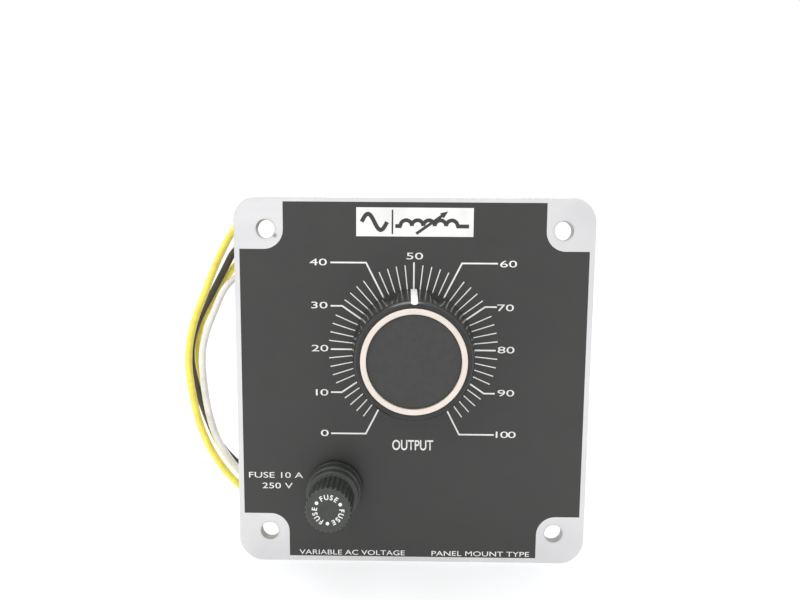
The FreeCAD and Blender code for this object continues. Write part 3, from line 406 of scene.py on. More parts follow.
def all_materials():
    """One material for each slot of the record, and those of the print, the knob and the fuse holder."""
    dial = (DIAL.x, DIAL.z)
    fuse = (FUSE.x, FUSE.z)
    return {
        "satin_aluminium": satin_plate(),
        "zinc_steel": plain("zinc_steel", (0.60, 0.61, 0.60), 0.32, 0.95, 0.14, (1200, 0.02, 0.25), 150),
        "cast_aluminium": plain("cast_aluminium", (0.52, 0.52, 0.51), 0.5, 0.9, 0.12, (650, 0.10, 0.7), 60),
        "bronze": radial_metal("bronze", (0.55, 0.36, 0.18), 0.38, dial),
        "spring_steel": plain("spring_steel", (0.42, 0.42, 0.43), 0.3, 1.0, 0.15, (1500, 0.01, 0.2), 200),
        "pressboard": plain("pressboard", (0.45, 0.35, 0.22), 0.8, 0.0, 0.2, (900, 0.06, 0.6), 220),
        "enamelled_copper": copper_winding(),
        "insulating_wrap": plain("insulating_wrap", (0.74, 0.66, 0.40), 0.55, 0.0, 0.15, (500, 0.05, 0.5), 90),
        "core_steel": radial_metal("core_steel", (0.36, 0.37, 0.39), 0.4, dial),
        "brown_phenolic": laminate(),
        "brass": plain("brass", (0.72, 0.52, 0.22), 0.28, 1.0, 0.16, (1400, 0.01, 0.25), 120),
        "shaft_steel": plain("shaft_steel", (0.60, 0.60, 0.61), 0.25, 1.0, 0.08, (1800, 0.01, 0.3), 150,
                             stretch=(1, 0.06, 1)),
        "nylon": plain("nylon", (0.80, 0.77, 0.68), 0.45, 0.0, 0.06, (700, 0.03, 0.25), 120, coat=0.1),
        "arm_aluminium": plain("arm_aluminium", (0.66, 0.66, 0.66), 0.35, 0.95, 0.08, (900, 0.02, 0.4), 90,
                               stretch=(0.05, 1, 1)),
        "black_oxide_steel": plain("black_oxide_steel", (0.07, 0.07, 0.08), 0.35, 0.8, 0.2,
                                   (1300, 0.01, 0.2), 200),
        "graphite": plain("graphite", (0.05, 0.05, 0.055), 0.55, 0.2, 0.2, (1600, 0.03, 0.4), 250),
        "black_moulding": moulding("black_moulding", (0.018, 0.018, 0.018), 0.2),
        "bright_aluminium": radial_metal("bright_aluminium", (0.76, 0.675, 0.61), 0.45, dial, 0.4),
        "black_pebble": pebbled(),
        "tinned_brass": plain("tinned_brass", (0.74, 0.72, 0.66), 0.3, 0.95, 0.12, (1100, 0.02, 0.35), 160),
        "black_rubber": plain("black_rubber", (0.03, 0.03, 0.03), 0.75, 0.0, 0.2, (900, 0.05, 0.4), 150),
        "fuse_glass": clear_glass(),
        "nickel_brass": radial_metal("nickel_brass", (0.76, 0.73, 0.65), 0.2, fuse),
        "fuse_wire": plain("fuse_wire", (0.66, 0.58, 0.42), 0.35, 1.0, 0.1, (2000, 0.01, 0.2), 300),
        "yellow_insulation": wire_cover("yellow_insulation", (0.95, 0.79, 0.13)),
        "black_insulation": wire_cover("black_insulation", (0.055, 0.050, 0.034)),
        "white_insulation": wire_cover("white_insulation", (0.93, 0.91, 0.86)),
        "tinned_copper": plain("tinned_copper", (0.72, 0.68, 0.62), 0.3, 1.0, 0.15, (1500, 0.02, 0.3), 300),
        "black_ink": ink("black_ink", (0.030, 0.031, 0.028), 0.42),
        "white_ink": ink("white_ink", (0.84, 0.84, 0.81), 0.5),
        "knob_plastic": moulding("knob_plastic", (0.030, 0.031, 0.029), 0.22, 0.1, 0.3),
        "fuse_plastic": moulding("fuse_plastic", (0.030, 0.031, 0.029), 0.34),
        "cap_plastic": moulding("cap_plastic", (0.040, 0.043, 0.039), 0.38),
    }


# ------------------------------------------------------------------ mesh helpers

def piece_of(name, mesh, material, body, smooth=None):
    """Object with a material and a body to ride on; edges sharper than smooth degrees
    stay sharp, and without it the faces stay flat."""
    piece = linked(name, mesh)
    mesh.materials.clear()
    mesh.materials.append(MATERIALS[material])
    if smooth is not None:
        mesh.shade_smooth()
        mesh.set_sharp_from_angle(angle=math.radians(smooth))
    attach(piece, body)
    return piece


def mesh_from(bm, name):
    """Mesh of a finished bmesh, its faces turned outward."""
    bmesh.ops.recalc_face_normals(bm, faces=bm.faces)
    mesh = bpy.data.meshes.new(name)
    bm.to_mesh(mesh)
    bm.free()
    return mesh


def rounded(profile, radius, steps=4):
    """A profile with every corner between its ends rounded; points are (radius, y) in millimetres."""
    points = [profile[0]]
    for before, corner, after in zip(profile, profile[1:], profile[2:]):
        corner = Vector(corner)
        back = Vector(before) - corner
        ahead = Vector(after) - corner
        reach = min(radius, 0.45 * back.length, 0.45 * ahead.length)
        start = corner + back.normalized() * reach
        end = corner + ahead.normalized() * reach
        for step in range(steps + 1):
            t = step / steps
            points.append(tuple(start * (1 - t) ** 2 + corner * 2 * t * (1 - t) + end * t ** 2))
    points.append(profile[-1])
    return points


def turned_mesh(name, profile, centre, steps, shape=None):
    """Mesh turned about an axis along Y. Profile points are (radius, y) in millimetres; shape(angle, row) is
    added to the radius, in millimetres. Angles run clockwise from the top as seen from the front."""
    bm = bmesh.new()
    rings = []
    for row, (radius, y) in enumerate(profile):
        if radius < 1e-6:
            rings.append([bm.verts.new((centre.x, y * MM, centre.z))])
            continue
        ring = []
        for step in range(steps):
            angle = 2 * math.pi * step / steps
            r = (radius + (shape(angle, row) if shape else 0.0)) * MM
            ring.append(bm.verts.new((centre.x + r * math.sin(angle), y * MM, centre.z + r * math.cos(angle))))
        rings.append(ring)
    for first, second in zip(rings, rings[1:]):
        for i in range(steps):
            j = (i + 1) % steps
            if len(first) == 1:
                bm.faces.new((first[0], second[j], second[i]))
            elif len(second) == 1:
                bm.faces.new((first[i], first[j], second[0]))
            else:
                bm.faces.new((first[i], first[j], second[j], second[i]))
    return mesh_from(bm, name)


def flat_mesh(name, outlines, low, high):
    """Thin plates over the face plate, from outlines in millimetres, between two heights above its front."""
    bm = bmesh.new()
    for outline in outlines:
        near = [bm.verts.new((x * MM, FRONT - high * MM, z * MM)) for x, z in outline]
        far = [bm.verts.new((x * MM, FRONT - low * MM, z * MM)) for x, z in outline]
        bm.faces.new(near)
        bm.faces.new(far[::-1])
        count = len(outline)
        for i in range(count):
            j = (i + 1) % count
            bm.faces.new((near[i], near[j], far[j], far[i]))
    return mesh_from(bm, name)


def stroke(points, width):
    """Outline of a line of even width along points, with mitred turns."""
    points = [Vector(p) for p in points]
    left = []
    right = []
    for i, point in enumerate(points):
        before = (point - points[i - 1]).normalized() if i else None
        after = (points[i + 1] - point).normalized() if i < len(points) - 1 else None
        along = ((before or after) + (after or before)).normalized()
        side = Vector((-along.y, along.x))
        ahead = after or before
        reach = width / 2 / max(0.3, side.dot(Vector((-ahead.y, ahead.x))))
        left.append(tuple(point + side * reach))
        right.append(tuple(point - side * reach))
    return left + right[::-1]


def disc_outline(x, z, radius, steps=40):
    """Outline of a round spot."""
    return [(x + radius * math.cos(2 * math.pi * i / steps), z + radius * math.sin(2 * math.pi * i / steps))
            for i in range(steps)]


def arch(x, z, radius, steps=14):
    """Points over the upper half of a circle, from left to right."""
    angles = [math.radians(180 - 180 * i / steps) for i in range(steps + 1)]
    return [(x + radius * math.cos(angle), z + radius * math.sin(angle)) for angle in angles]


def flat_curve_mesh(name, data):
    """Mesh of a flat curve or text; the curve is removed."""
    source = linked(name, data)
    bpy.context.view_layer.update()
    mesh = bpy.data.meshes.new_from_object(source.evaluated_get(bpy.context.evaluated_depsgraph_get()))
    bpy.data.objects.remove(source)
    bpy.data.curves.remove(data)
    return mesh


CAPITAL_SHARE = 0.729
CLOSE_SPACING = 0.86


def text_mesh(text, height, bold):
    """Flat mesh of text in Blender's own font, its capitals that high in millimetres, centred on the origin."""
    data = bpy.data.curves.new("lettering", "FONT")
    data.body = text
    data.size = height / CAPITAL_SHARE
    data.offset = bold
    data.space_character = CLOSE_SPACING if text in ("10", "100") else 1.0
    data.resolution_u = 6
    mesh = flat_curve_mesh("lettering", data)
    xs = [v.co.x for v in mesh.vertices]
    ys = [v.co.y for v in mesh.vertices]
    mesh.transform(Matrix.Translation((-(min(xs) + max(xs)) / 2, -(min(ys) + max(ys)) / 2, 0)))
    return mesh


def lettering(name, items, depth, body):
    """White printed text facing the front. Each item: text, height, x and z of its middle, how much it is
    widened, its turn in degrees and how much its strokes are thickened."""
    bm = bmesh.new()
    for text, height, x, z, widen, turn, bold in items:
        mesh = text_mesh(text, height, bold)
        place = Matrix.Translation((x * MM, FRONT - depth * MM, z * MM))
        spin = Matrix.Rotation(math.radians(turn), 4, "Y")
        mesh.transform(place @ spin @ UPRIGHT @ Matrix.Diagonal((widen * MM, MM, MM, 1)))
        bm.from_mesh(mesh)
        bpy.data.meshes.remove(mesh)
    mesh = bpy.data.meshes.new(name)
    bm.to_mesh(mesh)
    bm.free()
    piece_of(name, mesh, "white_ink", body)


# ------------------------------------------------------------------ printed face

PRINT_X = 55.38
PRINT_Z = 58.3
# Each notch: the signs of its corner's x and z, and where its two straight edges lie.
NOTCHES = ((1, 1, 41.6, 43.2), (1, -1, 41.3, 44.0), (-1, -1, 40.5, 43.7), (-1, 1, 41.5, 43.4))
NOTCH_RADIUS = 6.2
PRINT_DEPTH = 0.03
MARK_DEPTH = 0.05
SHAFT_OPENING = 5.3
FUSE_OPENING = 6.7


def printed_area():
    """Black print over the plate, notched at its corners, open at the shaft and the fuse holder."""
    r = NOTCH_RADIUS
    outline = []
    for sign_x, sign_z, left, low in NOTCHES:
        notch = [(left, PRINT_Z)]
        notch += [(left + r - r * math.sin(t), low + r - r * math.cos(t))
                  for t in [math.pi / 2 * (1 - i / 10) for i in range(11)]]
        notch += [(PRINT_X, low)]
        corner = [(sign_x * x, sign_z * z) for x, z in notch]
        outline += corner if sign_x * sign_z > 0 else corner[::-1]
    data = bpy.data.curves.new("print", "CURVE")
    data.dimensions = "2D"
    data.fill_mode = "BOTH"
    data.extrude = PRINT_DEPTH / 2
    holes = [disc_outline(DIAL_X, DIAL_Z, SHAFT_OPENING), disc_outline(FUSE_X, FUSE_Z, FUSE_OPENING)]
    for points in [outline, *holes]:
        spline = data.splines.new("POLY")
        spline.points.add(len(points) - 1)
        for point, (x, z) in zip(spline.points, points):
            point.co = (x, z, 0, 1)
        spline.use_cyclic_u = True
    mesh = flat_curve_mesh("print", data)
    place = Matrix.Translation((0, FRONT - PRINT_DEPTH / 2 * MM, 0))
    mesh.transform(place @ Matrix.Scale(MM, 4) @ UPRIGHT)
    piece_of("printed_area", mesh, "black_ink", "chassis")


DEGREES_PER_UNIT = 3
TICK_INNER = 18.0
TICK_OUTER = 27.2
TICK_WIDTH = 0.32
LEADER_WIDTH = 0.50
LEADER_END = 26.5
TOP_LEADER_END = 28.0
# Where the leaders of the left half bend, out and up from the dial's axis; the right half mirrors it.
LEADER_KNEES = {0: (15.2, -27.8), 10: (23.0, -14.1), 30: (22.8, 14.0), 40: (15.2, 27.8)}
NUMBER_HEIGHT = 2.2
NUMBER_WIDENING = 1.9
# Each number and its middle, from the dial's axis.
NUMBER_PLACES = ((0, -28.6, -27.7), (10, -29.4, -14.2), (20, -30.0, 0.3), (30, -30.1, 14.2), (40, -30.4, 27.9),
                 (50, 0.2, 30.0), (60, 29.9, 27.7), (70, 29.3, 13.8), (80, 29.8, 0.2), (90, 30.1, -13.9),
                 (100, 30.4, -27.7))


def on_scale(value, radius):
    """Point of the dial at a value and radius, in millimetres on the plate."""
    angle = math.radians((value - 50) * DEGREES_PER_UNIT)
    return (DIAL_X + radius * math.sin(angle), DIAL_Z + radius * math.cos(angle))


def dial_marks():
    """Ticks every two units, thicker leaders at the tens that run out to their numbers."""
    ticks = []
    for value in range(0, 101, 2):
        if value % 10:
            ticks.append(stroke([on_scale(value, TICK_INNER), on_scale(value, TICK_OUTER)], TICK_WIDTH))
    leaders = [stroke([on_scale(50, TICK_INNER), on_scale(50, TOP_LEADER_END)], LEADER_WIDTH)]
    for value in (0, 10, 20, 30, 40, 60, 70, 80, 90, 100):
        side = -1 if value < 50 else 1
        points = [on_scale(value, TICK_INNER)]
        mirror = min(value, 100 - value)
        level = DIAL_Z
        if mirror in LEADER_KNEES:
            x, z = LEADER_KNEES[mirror]
            level = DIAL_Z + z
            points.append((DIAL_X + side * x, level))
        points.append((DIAL_X + side * LEADER_END, level))
        leaders.append(stroke(points, LEADER_WIDTH))
    mesh = flat_mesh("dial_ticks", ticks + leaders, PRINT_DEPTH, MARK_DEPTH)
    piece_of("dial_ticks", mesh, "white_ink", "chassis")
    items = [(str(value), NUMBER_HEIGHT, DIAL_X + x, DIAL_Z + z, NUMBER_WIDENING, 0, 0.0)
             for value, x, z in NUMBER_PLACES]
    lettering("dial_numbers", items, MARK_DEPTH, "chassis")


def printed_words():
    """Plain words for what each thing is."""
    items = [
        ("OUTPUT", 3.5, 0.15, -20.0, 0.71, 0, 0.06),
        ("FUSE 10 A", 2.0, -44.75, -30.6, 1.52, 0, 0.0),
        ("250 V", 2.0, -44.3, -34.2, 1.55, 0, 0.0),
        ("VARIABLE AC VOLTAGE", 1.75, -19.7, -57.0, 1.37, 0, 0.0),
        ("PANEL MOUNT TYPE", 1.75, 23.0, -57.0, 1.45, 0, 0.0),
    ]
    lettering("printed_words", items, MARK_DEPTH, "chassis")


SIGN_LEFT, SIGN_RIGHT, SIGN_LOW, SIGN_HIGH = -18.3, 18.6, 47.6, 56.6
SIGN_MIDDLE = (SIGN_LOW + SIGN_HIGH) / 2
WAVE_LEFT = -16.6
WAVE_LENGTH = 8.0
WAVE_HEIGHT = 2.5
WAVE_STEPS = 40
WAVE_WIDTH = 1.3
DIVIDER_X = -6.9
DIVIDER_WIDTH = 0.5
ARCH_LEFT = -2.6
ARCH_RADIUS = 1.8
ARCH_LEVEL = SIGN_MIDDLE - 1.2
WIRE_LEVEL = SIGN_MIDDLE - 1.25
ARCH_WIDTH = 1.2
ARROW_WIDTH = 0.9
MARK_THICKNESS = 0.02
MARK_STEP = 0.002


def sign():
    """Light sign at the top with a wave, a row of coil turns and an arrow across them."""
    field = [[(SIGN_LEFT, SIGN_LOW), (SIGN_RIGHT, SIGN_LOW), (SIGN_RIGHT, SIGN_HIGH), (SIGN_LEFT, SIGN_HIGH)]]
    mesh = flat_mesh("sign_field", field, PRINT_DEPTH, MARK_DEPTH)
    piece_of("sign_field", mesh, "white_ink", "chassis")
    wave = []
    for i in range(WAVE_STEPS + 1):
        swing = math.sin(2 * math.pi * i / WAVE_STEPS)
        wave.append((WAVE_LEFT + WAVE_LENGTH * i / WAVE_STEPS, SIGN_MIDDLE + WAVE_HEIGHT * swing))
    divider = [(DIVIDER_X, SIGN_LOW + 0.7), (DIVIDER_X, SIGN_HIGH - 0.7)]
    marks = [stroke(wave, WAVE_WIDTH), stroke(divider, DIVIDER_WIDTH)]
    for i in range(5):
        marks.append(stroke(arch(ARCH_LEFT + 2 * ARCH_RADIUS * i, ARCH_LEVEL, ARCH_RADIUS), ARCH_WIDTH))
    marks.append(stroke([(-6.0, WIRE_LEVEL), (-4.0, WIRE_LEVEL)], ARCH_WIDTH))
    marks.append(stroke([(13.2, WIRE_LEVEL), (17.2, WIRE_LEVEL)], ARCH_WIDTH))
    marks.append(stroke([(0.6, SIGN_LOW + 0.9), (9.2, SIGN_HIGH - 2.1)], ARROW_WIDTH))
    marks.append([(10.6, SIGN_HIGH - 1.1), (8.0, SIGN_HIGH - 1.7), (9.2, SIGN_HIGH - 3.3)])
    bm = bmesh.new()
    for i, mark in enumerate(marks):
        # Each mark stands a little higher than the last, so that no two faces coincide.
        mesh = flat_mesh("mark", [mark], MARK_DEPTH, MARK_DEPTH + MARK_THICKNESS + MARK_STEP * i)
        bm.from_mesh(mesh)
        bpy.data.meshes.remove(mesh)
    piece_of("sign_marks", mesh_from(bm, "sign_marks"), "black_ink", "chassis")


# ------------------------------------------------------------------ knob

# The rows of the knob, its ring and its disc: distance forward of the plate's front, radius.
KNOB_ROWS = [
    (0.8, 6.5), (0.8, 19.2), (0.86, 19.45), (1.0, 19.6), (1.3, 19.6), (2.6, 19.466), (3.9, 19.333),
    (4.0, 19.322), (4.1, 19.312), (6.5, 19.066), (9.0, 18.81), (12.0, 18.503), (15.0, 18.196),
    (18.0, 17.889), (20.2, 17.663), (21.0, 17.56), (21.5, 17.42), (21.95, 17.2), (22.3, 16.95),
    (22.6, 16.72), (22.75, 16.5), (22.8, 16.3), (22.8, 15.75), (22.74, 15.55), (22.55, 15.45),
    (21.6, 15.45), (21.55, 0.0),
]
RING_ROWS = [(21.6, 13.7), (23.2, 13.7), (23.2, 15.4), (21.6, 15.4)]
DISC_ROWS = [(22.15, 0.0), (22.17, 6.0), (22.3, 12.0), (22.4, 13.6), (21.6, 13.62), (21.6, 0.0)]
FACE_RADIUS = 16
FLUTES = 8
FLUTE_START = 4.0
FLUTE_RADIUS = 4.2
FLUTE_AXIS = 22.1
KNOB_STEPS = 384


def forward_of_plate(rows):
    """Profile for turned_mesh from rows of (distance forward of the plate's front, radius)."""
    return [(radius, FRONT_Y - forward) for forward, radius in rows]


def flute(angle, row):
    """Change of the knob's radius at an angle from the pointer, where the finger flutes cut."""
    forward, radius = KNOB_ROWS[row]
    if forward <= FLUTE_START or radius < FACE_RADIUS:
        return 0.0
    pitch = 360.0 / FLUTES
    away = math.radians((math.degrees(angle) + pitch) % pitch - pitch / 2)
    across = FLUTE_AXIS * math.sin(away)
    if abs(across) >= FLUTE_RADIUS:
        return 0.0
    floor = FLUTE_AXIS * math.cos(away) - math.sqrt(FLUTE_RADIUS ** 2 - across ** 2)
    return min(0.0, floor - radius)


def knob():
    """Moulded knob, its bright ring, pebbled disc and painted pointer."""
    mesh = turned_mesh("knob_moulding", forward_of_plate(KNOB_ROWS), DIAL, KNOB_STEPS, flute)
    body = piece_of("knob_moulding", mesh, "knob_plastic", "rotor", 35)
    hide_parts("knob_body")
    mesh = turned_mesh("knob_bright_ring", rounded(forward_of_plate(RING_ROWS), 0.35), DIAL, 192)
    piece = piece_of("knob_bright_ring", mesh, "bright_aluminium", "rotor", 50)
    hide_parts("knob_ring")
    mesh = turned_mesh("knob_face_disc", rounded(forward_of_plate(DISC_ROWS), 0.2), DIAL, 128)
    piece = piece_of("knob_face_disc", mesh, "black_pebble", "rotor", 50)
    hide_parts("knob_disc")
    pointer()


# Distance forward of the plate's front and radius; at the rounded end also the share of the full width.
POINTER_ROWS = [(1.1, 19.6), (1.3, 19.6), (4.0, 19.322), (9.0, 18.81), (15.0, 18.196), (20.2, 17.663),
                (21.0, 17.56), (21.5, 17.42), (21.95, 17.2), (22.3, 16.95)]
POINTER_END = [(22.45, 16.84, 0.97), (22.6, 16.72, 0.85), (22.68, 16.61, 0.66), (22.75, 16.5, 0.4),
               (22.77, 16.43, 0.05)]
POINTER_HALF = 1.0
POINTER_COLUMNS = 6
# The paint stands this far off the knob, and less within a millimetre of PAINT_FADE.
PAINT_LIFT = 0.05
PAINT_FADE = 23.3
PAINT_FORWARD = 0.03
PAINT_THICKNESS = 0.06


def pointer():
    """White line painted up the side of the knob and over its shoulder, rounded at its front end."""
    bm = bmesh.new()
    rows = [(forward, radius, POINTER_HALF) for forward, radius in POINTER_ROWS]
    rows += [(forward, radius, POINTER_HALF * share) for forward, radius, share in POINTER_END]
    grid = []
    for forward, radius, half in rows:
        line = []
        lift = PAINT_LIFT * min(1.0, PAINT_FADE - forward)
        for i in range(POINTER_COLUMNS + 1):
            angle = (half * (2 * i / POINTER_COLUMNS - 1)) / radius
            r = (radius + lift) * MM
            line.append(bm.verts.new((DIAL.x + r * math.sin(angle), FRONT - (forward + PAINT_FORWARD) * MM,
                                      DIAL.z + r * math.cos(angle))))
        grid.append(line)
    for a, b in zip(grid, grid[1:]):
        for i in range(POINTER_COLUMNS):
            bm.faces.new((a[i], a[i + 1], b[i + 1], b[i]))
    piece = piece_of("knob_pointer", mesh_from(bm, "knob_pointer"), "white_ink", "rotor", 60)
    thick = piece.modifiers.new("paint", "SOLIDIFY")
    thick.thickness = PAINT_THICKNESS * MM
    thick.offset = -1.0


# ------------------------------------------------------------------ fuse holder

SHELL_BORE = 4.6
BORE_END = 28.0
FLANGE_RADIUS = 9.0
FLANGE_FRONT = FRONT_Y - 2.4
FLANGE_BACK = FRONT_Y - 0.6
NECK_RADIUS = 6.4
THREAD_CREST = 6.38
THREAD_ROOT = 6.12
THREAD_START = 0.5
THREAD_END = 14.0
THREAD_PITCH = 1.0
SHELL_END = 35.95
TAIL_HOLE = 1.52


def fuse_holder():
    """Round flange and threaded barrel, and the grooved cap with its word ring."""
    outer = rounded([(SHELL_BORE, BORE_END), (SHELL_BORE, FLANGE_FRONT), (FLANGE_RADIUS, FLANGE_FRONT),
                     (FLANGE_RADIUS, FLANGE_BACK), (NECK_RADIUS, FLANGE_BACK)], 0.35)
    threads = []
    y = THREAD_START
    while y < THREAD_END:
        threads += [(THREAD_CREST, y), (THREAD_CREST, y + 0.35),
                    (THREAD_ROOT, y + 0.55), (THREAD_ROOT, y + 0.8)]
        y += THREAD_PITCH
    tail = rounded([(THREAD_CREST, y), (THREAD_CREST, SHELL_END), (TAIL_HOLE, SHELL_END), (TAIL_HOLE, BORE_END),
                    (SHELL_BORE, BORE_END)], 0.3)
    mesh = turned_mesh("fuse_shell", outer + threads + tail, FUSE, 96)
    shell = piece_of("fuse_shell", mesh, "fuse_plastic", "chassis", 40)
    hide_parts("fuse_body")
    fuse_grip()


CAP_GROOVES = 28
GROOVE_DEPTH = 0.45
CAP_STEPS = CAP_GROOVES * 10
# Each row of the cap: y, radius, share of the grooves' depth.
CAP_ROWS = [
    (-9.05, 0.0, 0.0), (-9.05, 3.22, 0.0), (-2.0, 3.22, 0.0), (-2.0, 4.3, 0.0), (-5.6, 4.3, 0.0),
    (-5.6, 8.5, 0.0), (-5.75, 8.75, 0.0), (-6.0, 8.8, 0.0), (-8.55, 8.8, 0.0), (-8.8, 8.72, 0.0),
    (-8.97, 8.5, 0.0), (-9.0, 8.34, 0.0), (-9.05, 8.3, 0.0), (-11.4, 8.3, 0.0), (-11.75, 8.2, 0.0),
    (-11.95, 7.9, 0.0), (-12.0, 7.5, 0.0), (-12.05, 7.2, 0.3), (-12.15, 7.1, 1.0), (-15.0, 7.1, 1.0),
    (-18.0, 7.1, 1.0), (-21.4, 7.1, 1.0), (-21.7, 7.04, 0.9), (-21.95, 6.9, 0.6), (-22.12, 6.7, 0.25),
    (-22.2, 6.45, 0.0), (-22.18, 6.2, 0.0), (-22.14, 5.4, 0.0), (-22.1, 2.6, 0.0), (-22.04, 2.45, 0.0),
    (-22.0, 0.0, 0.0),
]
WORD_DEPTH = FRONT_Y + 22.17
WORD_START = 3.0
WORD_RADIUS = 4.1
LETTER_ANGLES = (-32, -10.5, 11.5, 33)
DOT_RADIUS = 0.55


def fuse_grip():
    """Cap with two plain steps, a grooved grip, a flat face and a stem round the cartridge."""
    def grooves(angle, row):
        wave = 0.5 + 0.5 * math.cos(CAP_GROOVES * angle)
        return -GROOVE_DEPTH * CAP_ROWS[row][2] * wave ** 2

    profile = [(radius, y) for y, radius, share in CAP_ROWS]
    mesh = turned_mesh("fuse_grip", profile, FUSE, CAP_STEPS, grooves)
    grip = piece_of("fuse_grip", mesh, "cap_plastic", "cap", 50)
    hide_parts("fuse_cap")

    def on_ring(degrees):
        angle = math.radians(degrees)
        return FUSE_X + WORD_RADIUS * math.sin(angle), FUSE_Z + WORD_RADIUS * math.cos(angle)

    letters = []
    dots = []
    for word in range(3):
        for letter, offset in zip("FUSE", LETTER_ANGLES):
            turn = WORD_START + 120 * word + offset
            letters.append((letter, 1.6, *on_ring(turn), 0.95, turn, 0.05))
        dots.append(disc_outline(*on_ring(WORD_START + 60 + 120 * word), DOT_RADIUS, 20))
    lettering("fuse_cap_word", letters, WORD_DEPTH, "cap")
    mesh = flat_mesh("fuse_cap_dots", dots, WORD_DEPTH - 0.03, WORD_DEPTH)
    piece_of("fuse_cap_dots", mesh, "white_ink", "cap")


# ------------------------------------------------------------------ coil

COIL_INNER = 19.5
COIL_OUTER = 41.0
COIL_FRONT = 7.2
COIL_BACK = 35.2
COIL_CORNER = 3.0
WINDING_TURNS = 200
WINDING_STEPS = WINDING_TURNS * 5
GROOVE = 0.34
# The brush track on the back: its two radii and the width of their edges, how deep it is worn, the share of
# the grooves that is left in it, and the radii of the rows across the back.
TRACK_INNER = 28.4
TRACK_OUTER = 35.8
TRACK_EDGE = 0.4
TRACK_WEAR = 0.12
TRACK_GROOVE_SHARE = 0.25
BACK_RADII = (24.5, 27.8, 28.4, 29.2, 32.0, 35.0, 35.6, 36.4)


def coil_winding():
    """Closed ring of wire turns laid side by side, flattened where the brush runs on the back face."""
    # Each point of the section: radius, y and the direction that faces out of the coil.
    section = [(r, COIL_BACK, 0.0, 1.0) for r in BACK_RADII]
    for x, y, start in ((COIL_OUTER - COIL_CORNER, COIL_BACK - COIL_CORNER, 90),
                        (COIL_OUTER - COIL_CORNER, COIL_FRONT + COIL_CORNER, 0),
                        (COIL_INNER + COIL_CORNER, COIL_FRONT + COIL_CORNER, -90),
                        (COIL_INNER + COIL_CORNER, COIL_BACK - COIL_CORNER, -180)):
        for i in range(7):
            angle = math.radians(start - 15 * i)
            section.append((x + COIL_CORNER * math.cos(angle), y + COIL_CORNER * math.sin(angle),
                            math.cos(angle), math.sin(angle)))
    bm = bmesh.new()
    rings = []
    for step in range(WINDING_STEPS):
        angle = 2 * math.pi * step / WINDING_STEPS
        dip = 1 - abs(math.sin(WINDING_TURNS * angle / 2)) ** 0.6
        ring = []
        for r, y, nr, ny in section:
            depth = GROOVE * dip
            if y == COIL_BACK and TRACK_INNER <= r <= TRACK_OUTER:
                depth = depth * TRACK_GROOVE_SHARE + TRACK_WEAR
            radius = (r - nr * depth) * MM
            ring.append(bm.verts.new((DIAL.x + radius * math.sin(angle), (y - ny * depth) * MM,
                                      DIAL.z + radius * math.cos(angle))))
        rings.append(ring)
    count = len(section)
    for i, ring in enumerate(rings):
        following = rings[(i + 1) % len(rings)]
        for k in range(count):
            m = (k + 1) % count
            bm.faces.new((ring[k], ring[m], following[m], following[k]))
    piece = piece_of("coil_winding", mesh_from(bm, "coil_winding"), "enamelled_copper",
                     "chassis", 60)
    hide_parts("winding")


# ------------------------------------------------------------------ brush spring

SPRING_RADIUS = 1.9
SPRING_WIRE = 0.22
SPRING_PITCH = 1.05
SPRING_HEIGHT = 5.9
SPRING_STEPS = 30
SPRING_SIDES = 12


def brush_spring():
    """Coil spring behind the brush, built at one fixed length; the real spring shortens as the brush is pushed
    back.
    """
    low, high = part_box("brush_spring")
    middle = (low + high) / 2
    start = high.y / MM - SPRING_WIRE - SPRING_HEIGHT
    rings = []
    bm = bmesh.new()
    count = round(SPRING_HEIGHT / SPRING_PITCH * SPRING_STEPS)
    for i in range(count + 1):
        y = start + SPRING_HEIGHT * i / count
        turn = 2 * math.pi * (y - start) / SPRING_PITCH
        out = Vector((math.cos(turn), 0.0, -math.sin(turn)))
        ring = []
        for k in range(SPRING_SIDES):
            angle = 2 * math.pi * k / SPRING_SIDES
            offset = out * (SPRING_RADIUS + SPRING_WIRE * math.cos(angle)) * MM
            ring.append(bm.verts.new((middle.x + offset.x, (y + SPRING_WIRE * math.sin(angle)) * MM,
                                      middle.z + offset.z)))
        rings.append(ring)
    for first, second in zip(rings, rings[1:]):
        for k in range(SPRING_SIDES):
            m = (k + 1) % SPRING_SIDES
            bm.faces.new((first[k], first[m], second[m], second[k]))
    bm.faces.new(rings[0])
    bm.faces.new(rings[-1][::-1])
    mesh = mesh_from(bm, "brush_spring_wire")
    piece = piece_of("brush_spring_wire", mesh, "spring_steel", "rotor", 60)
    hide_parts("brush_spring")
    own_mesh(piece)


# ------------------------------------------------------------------ wires

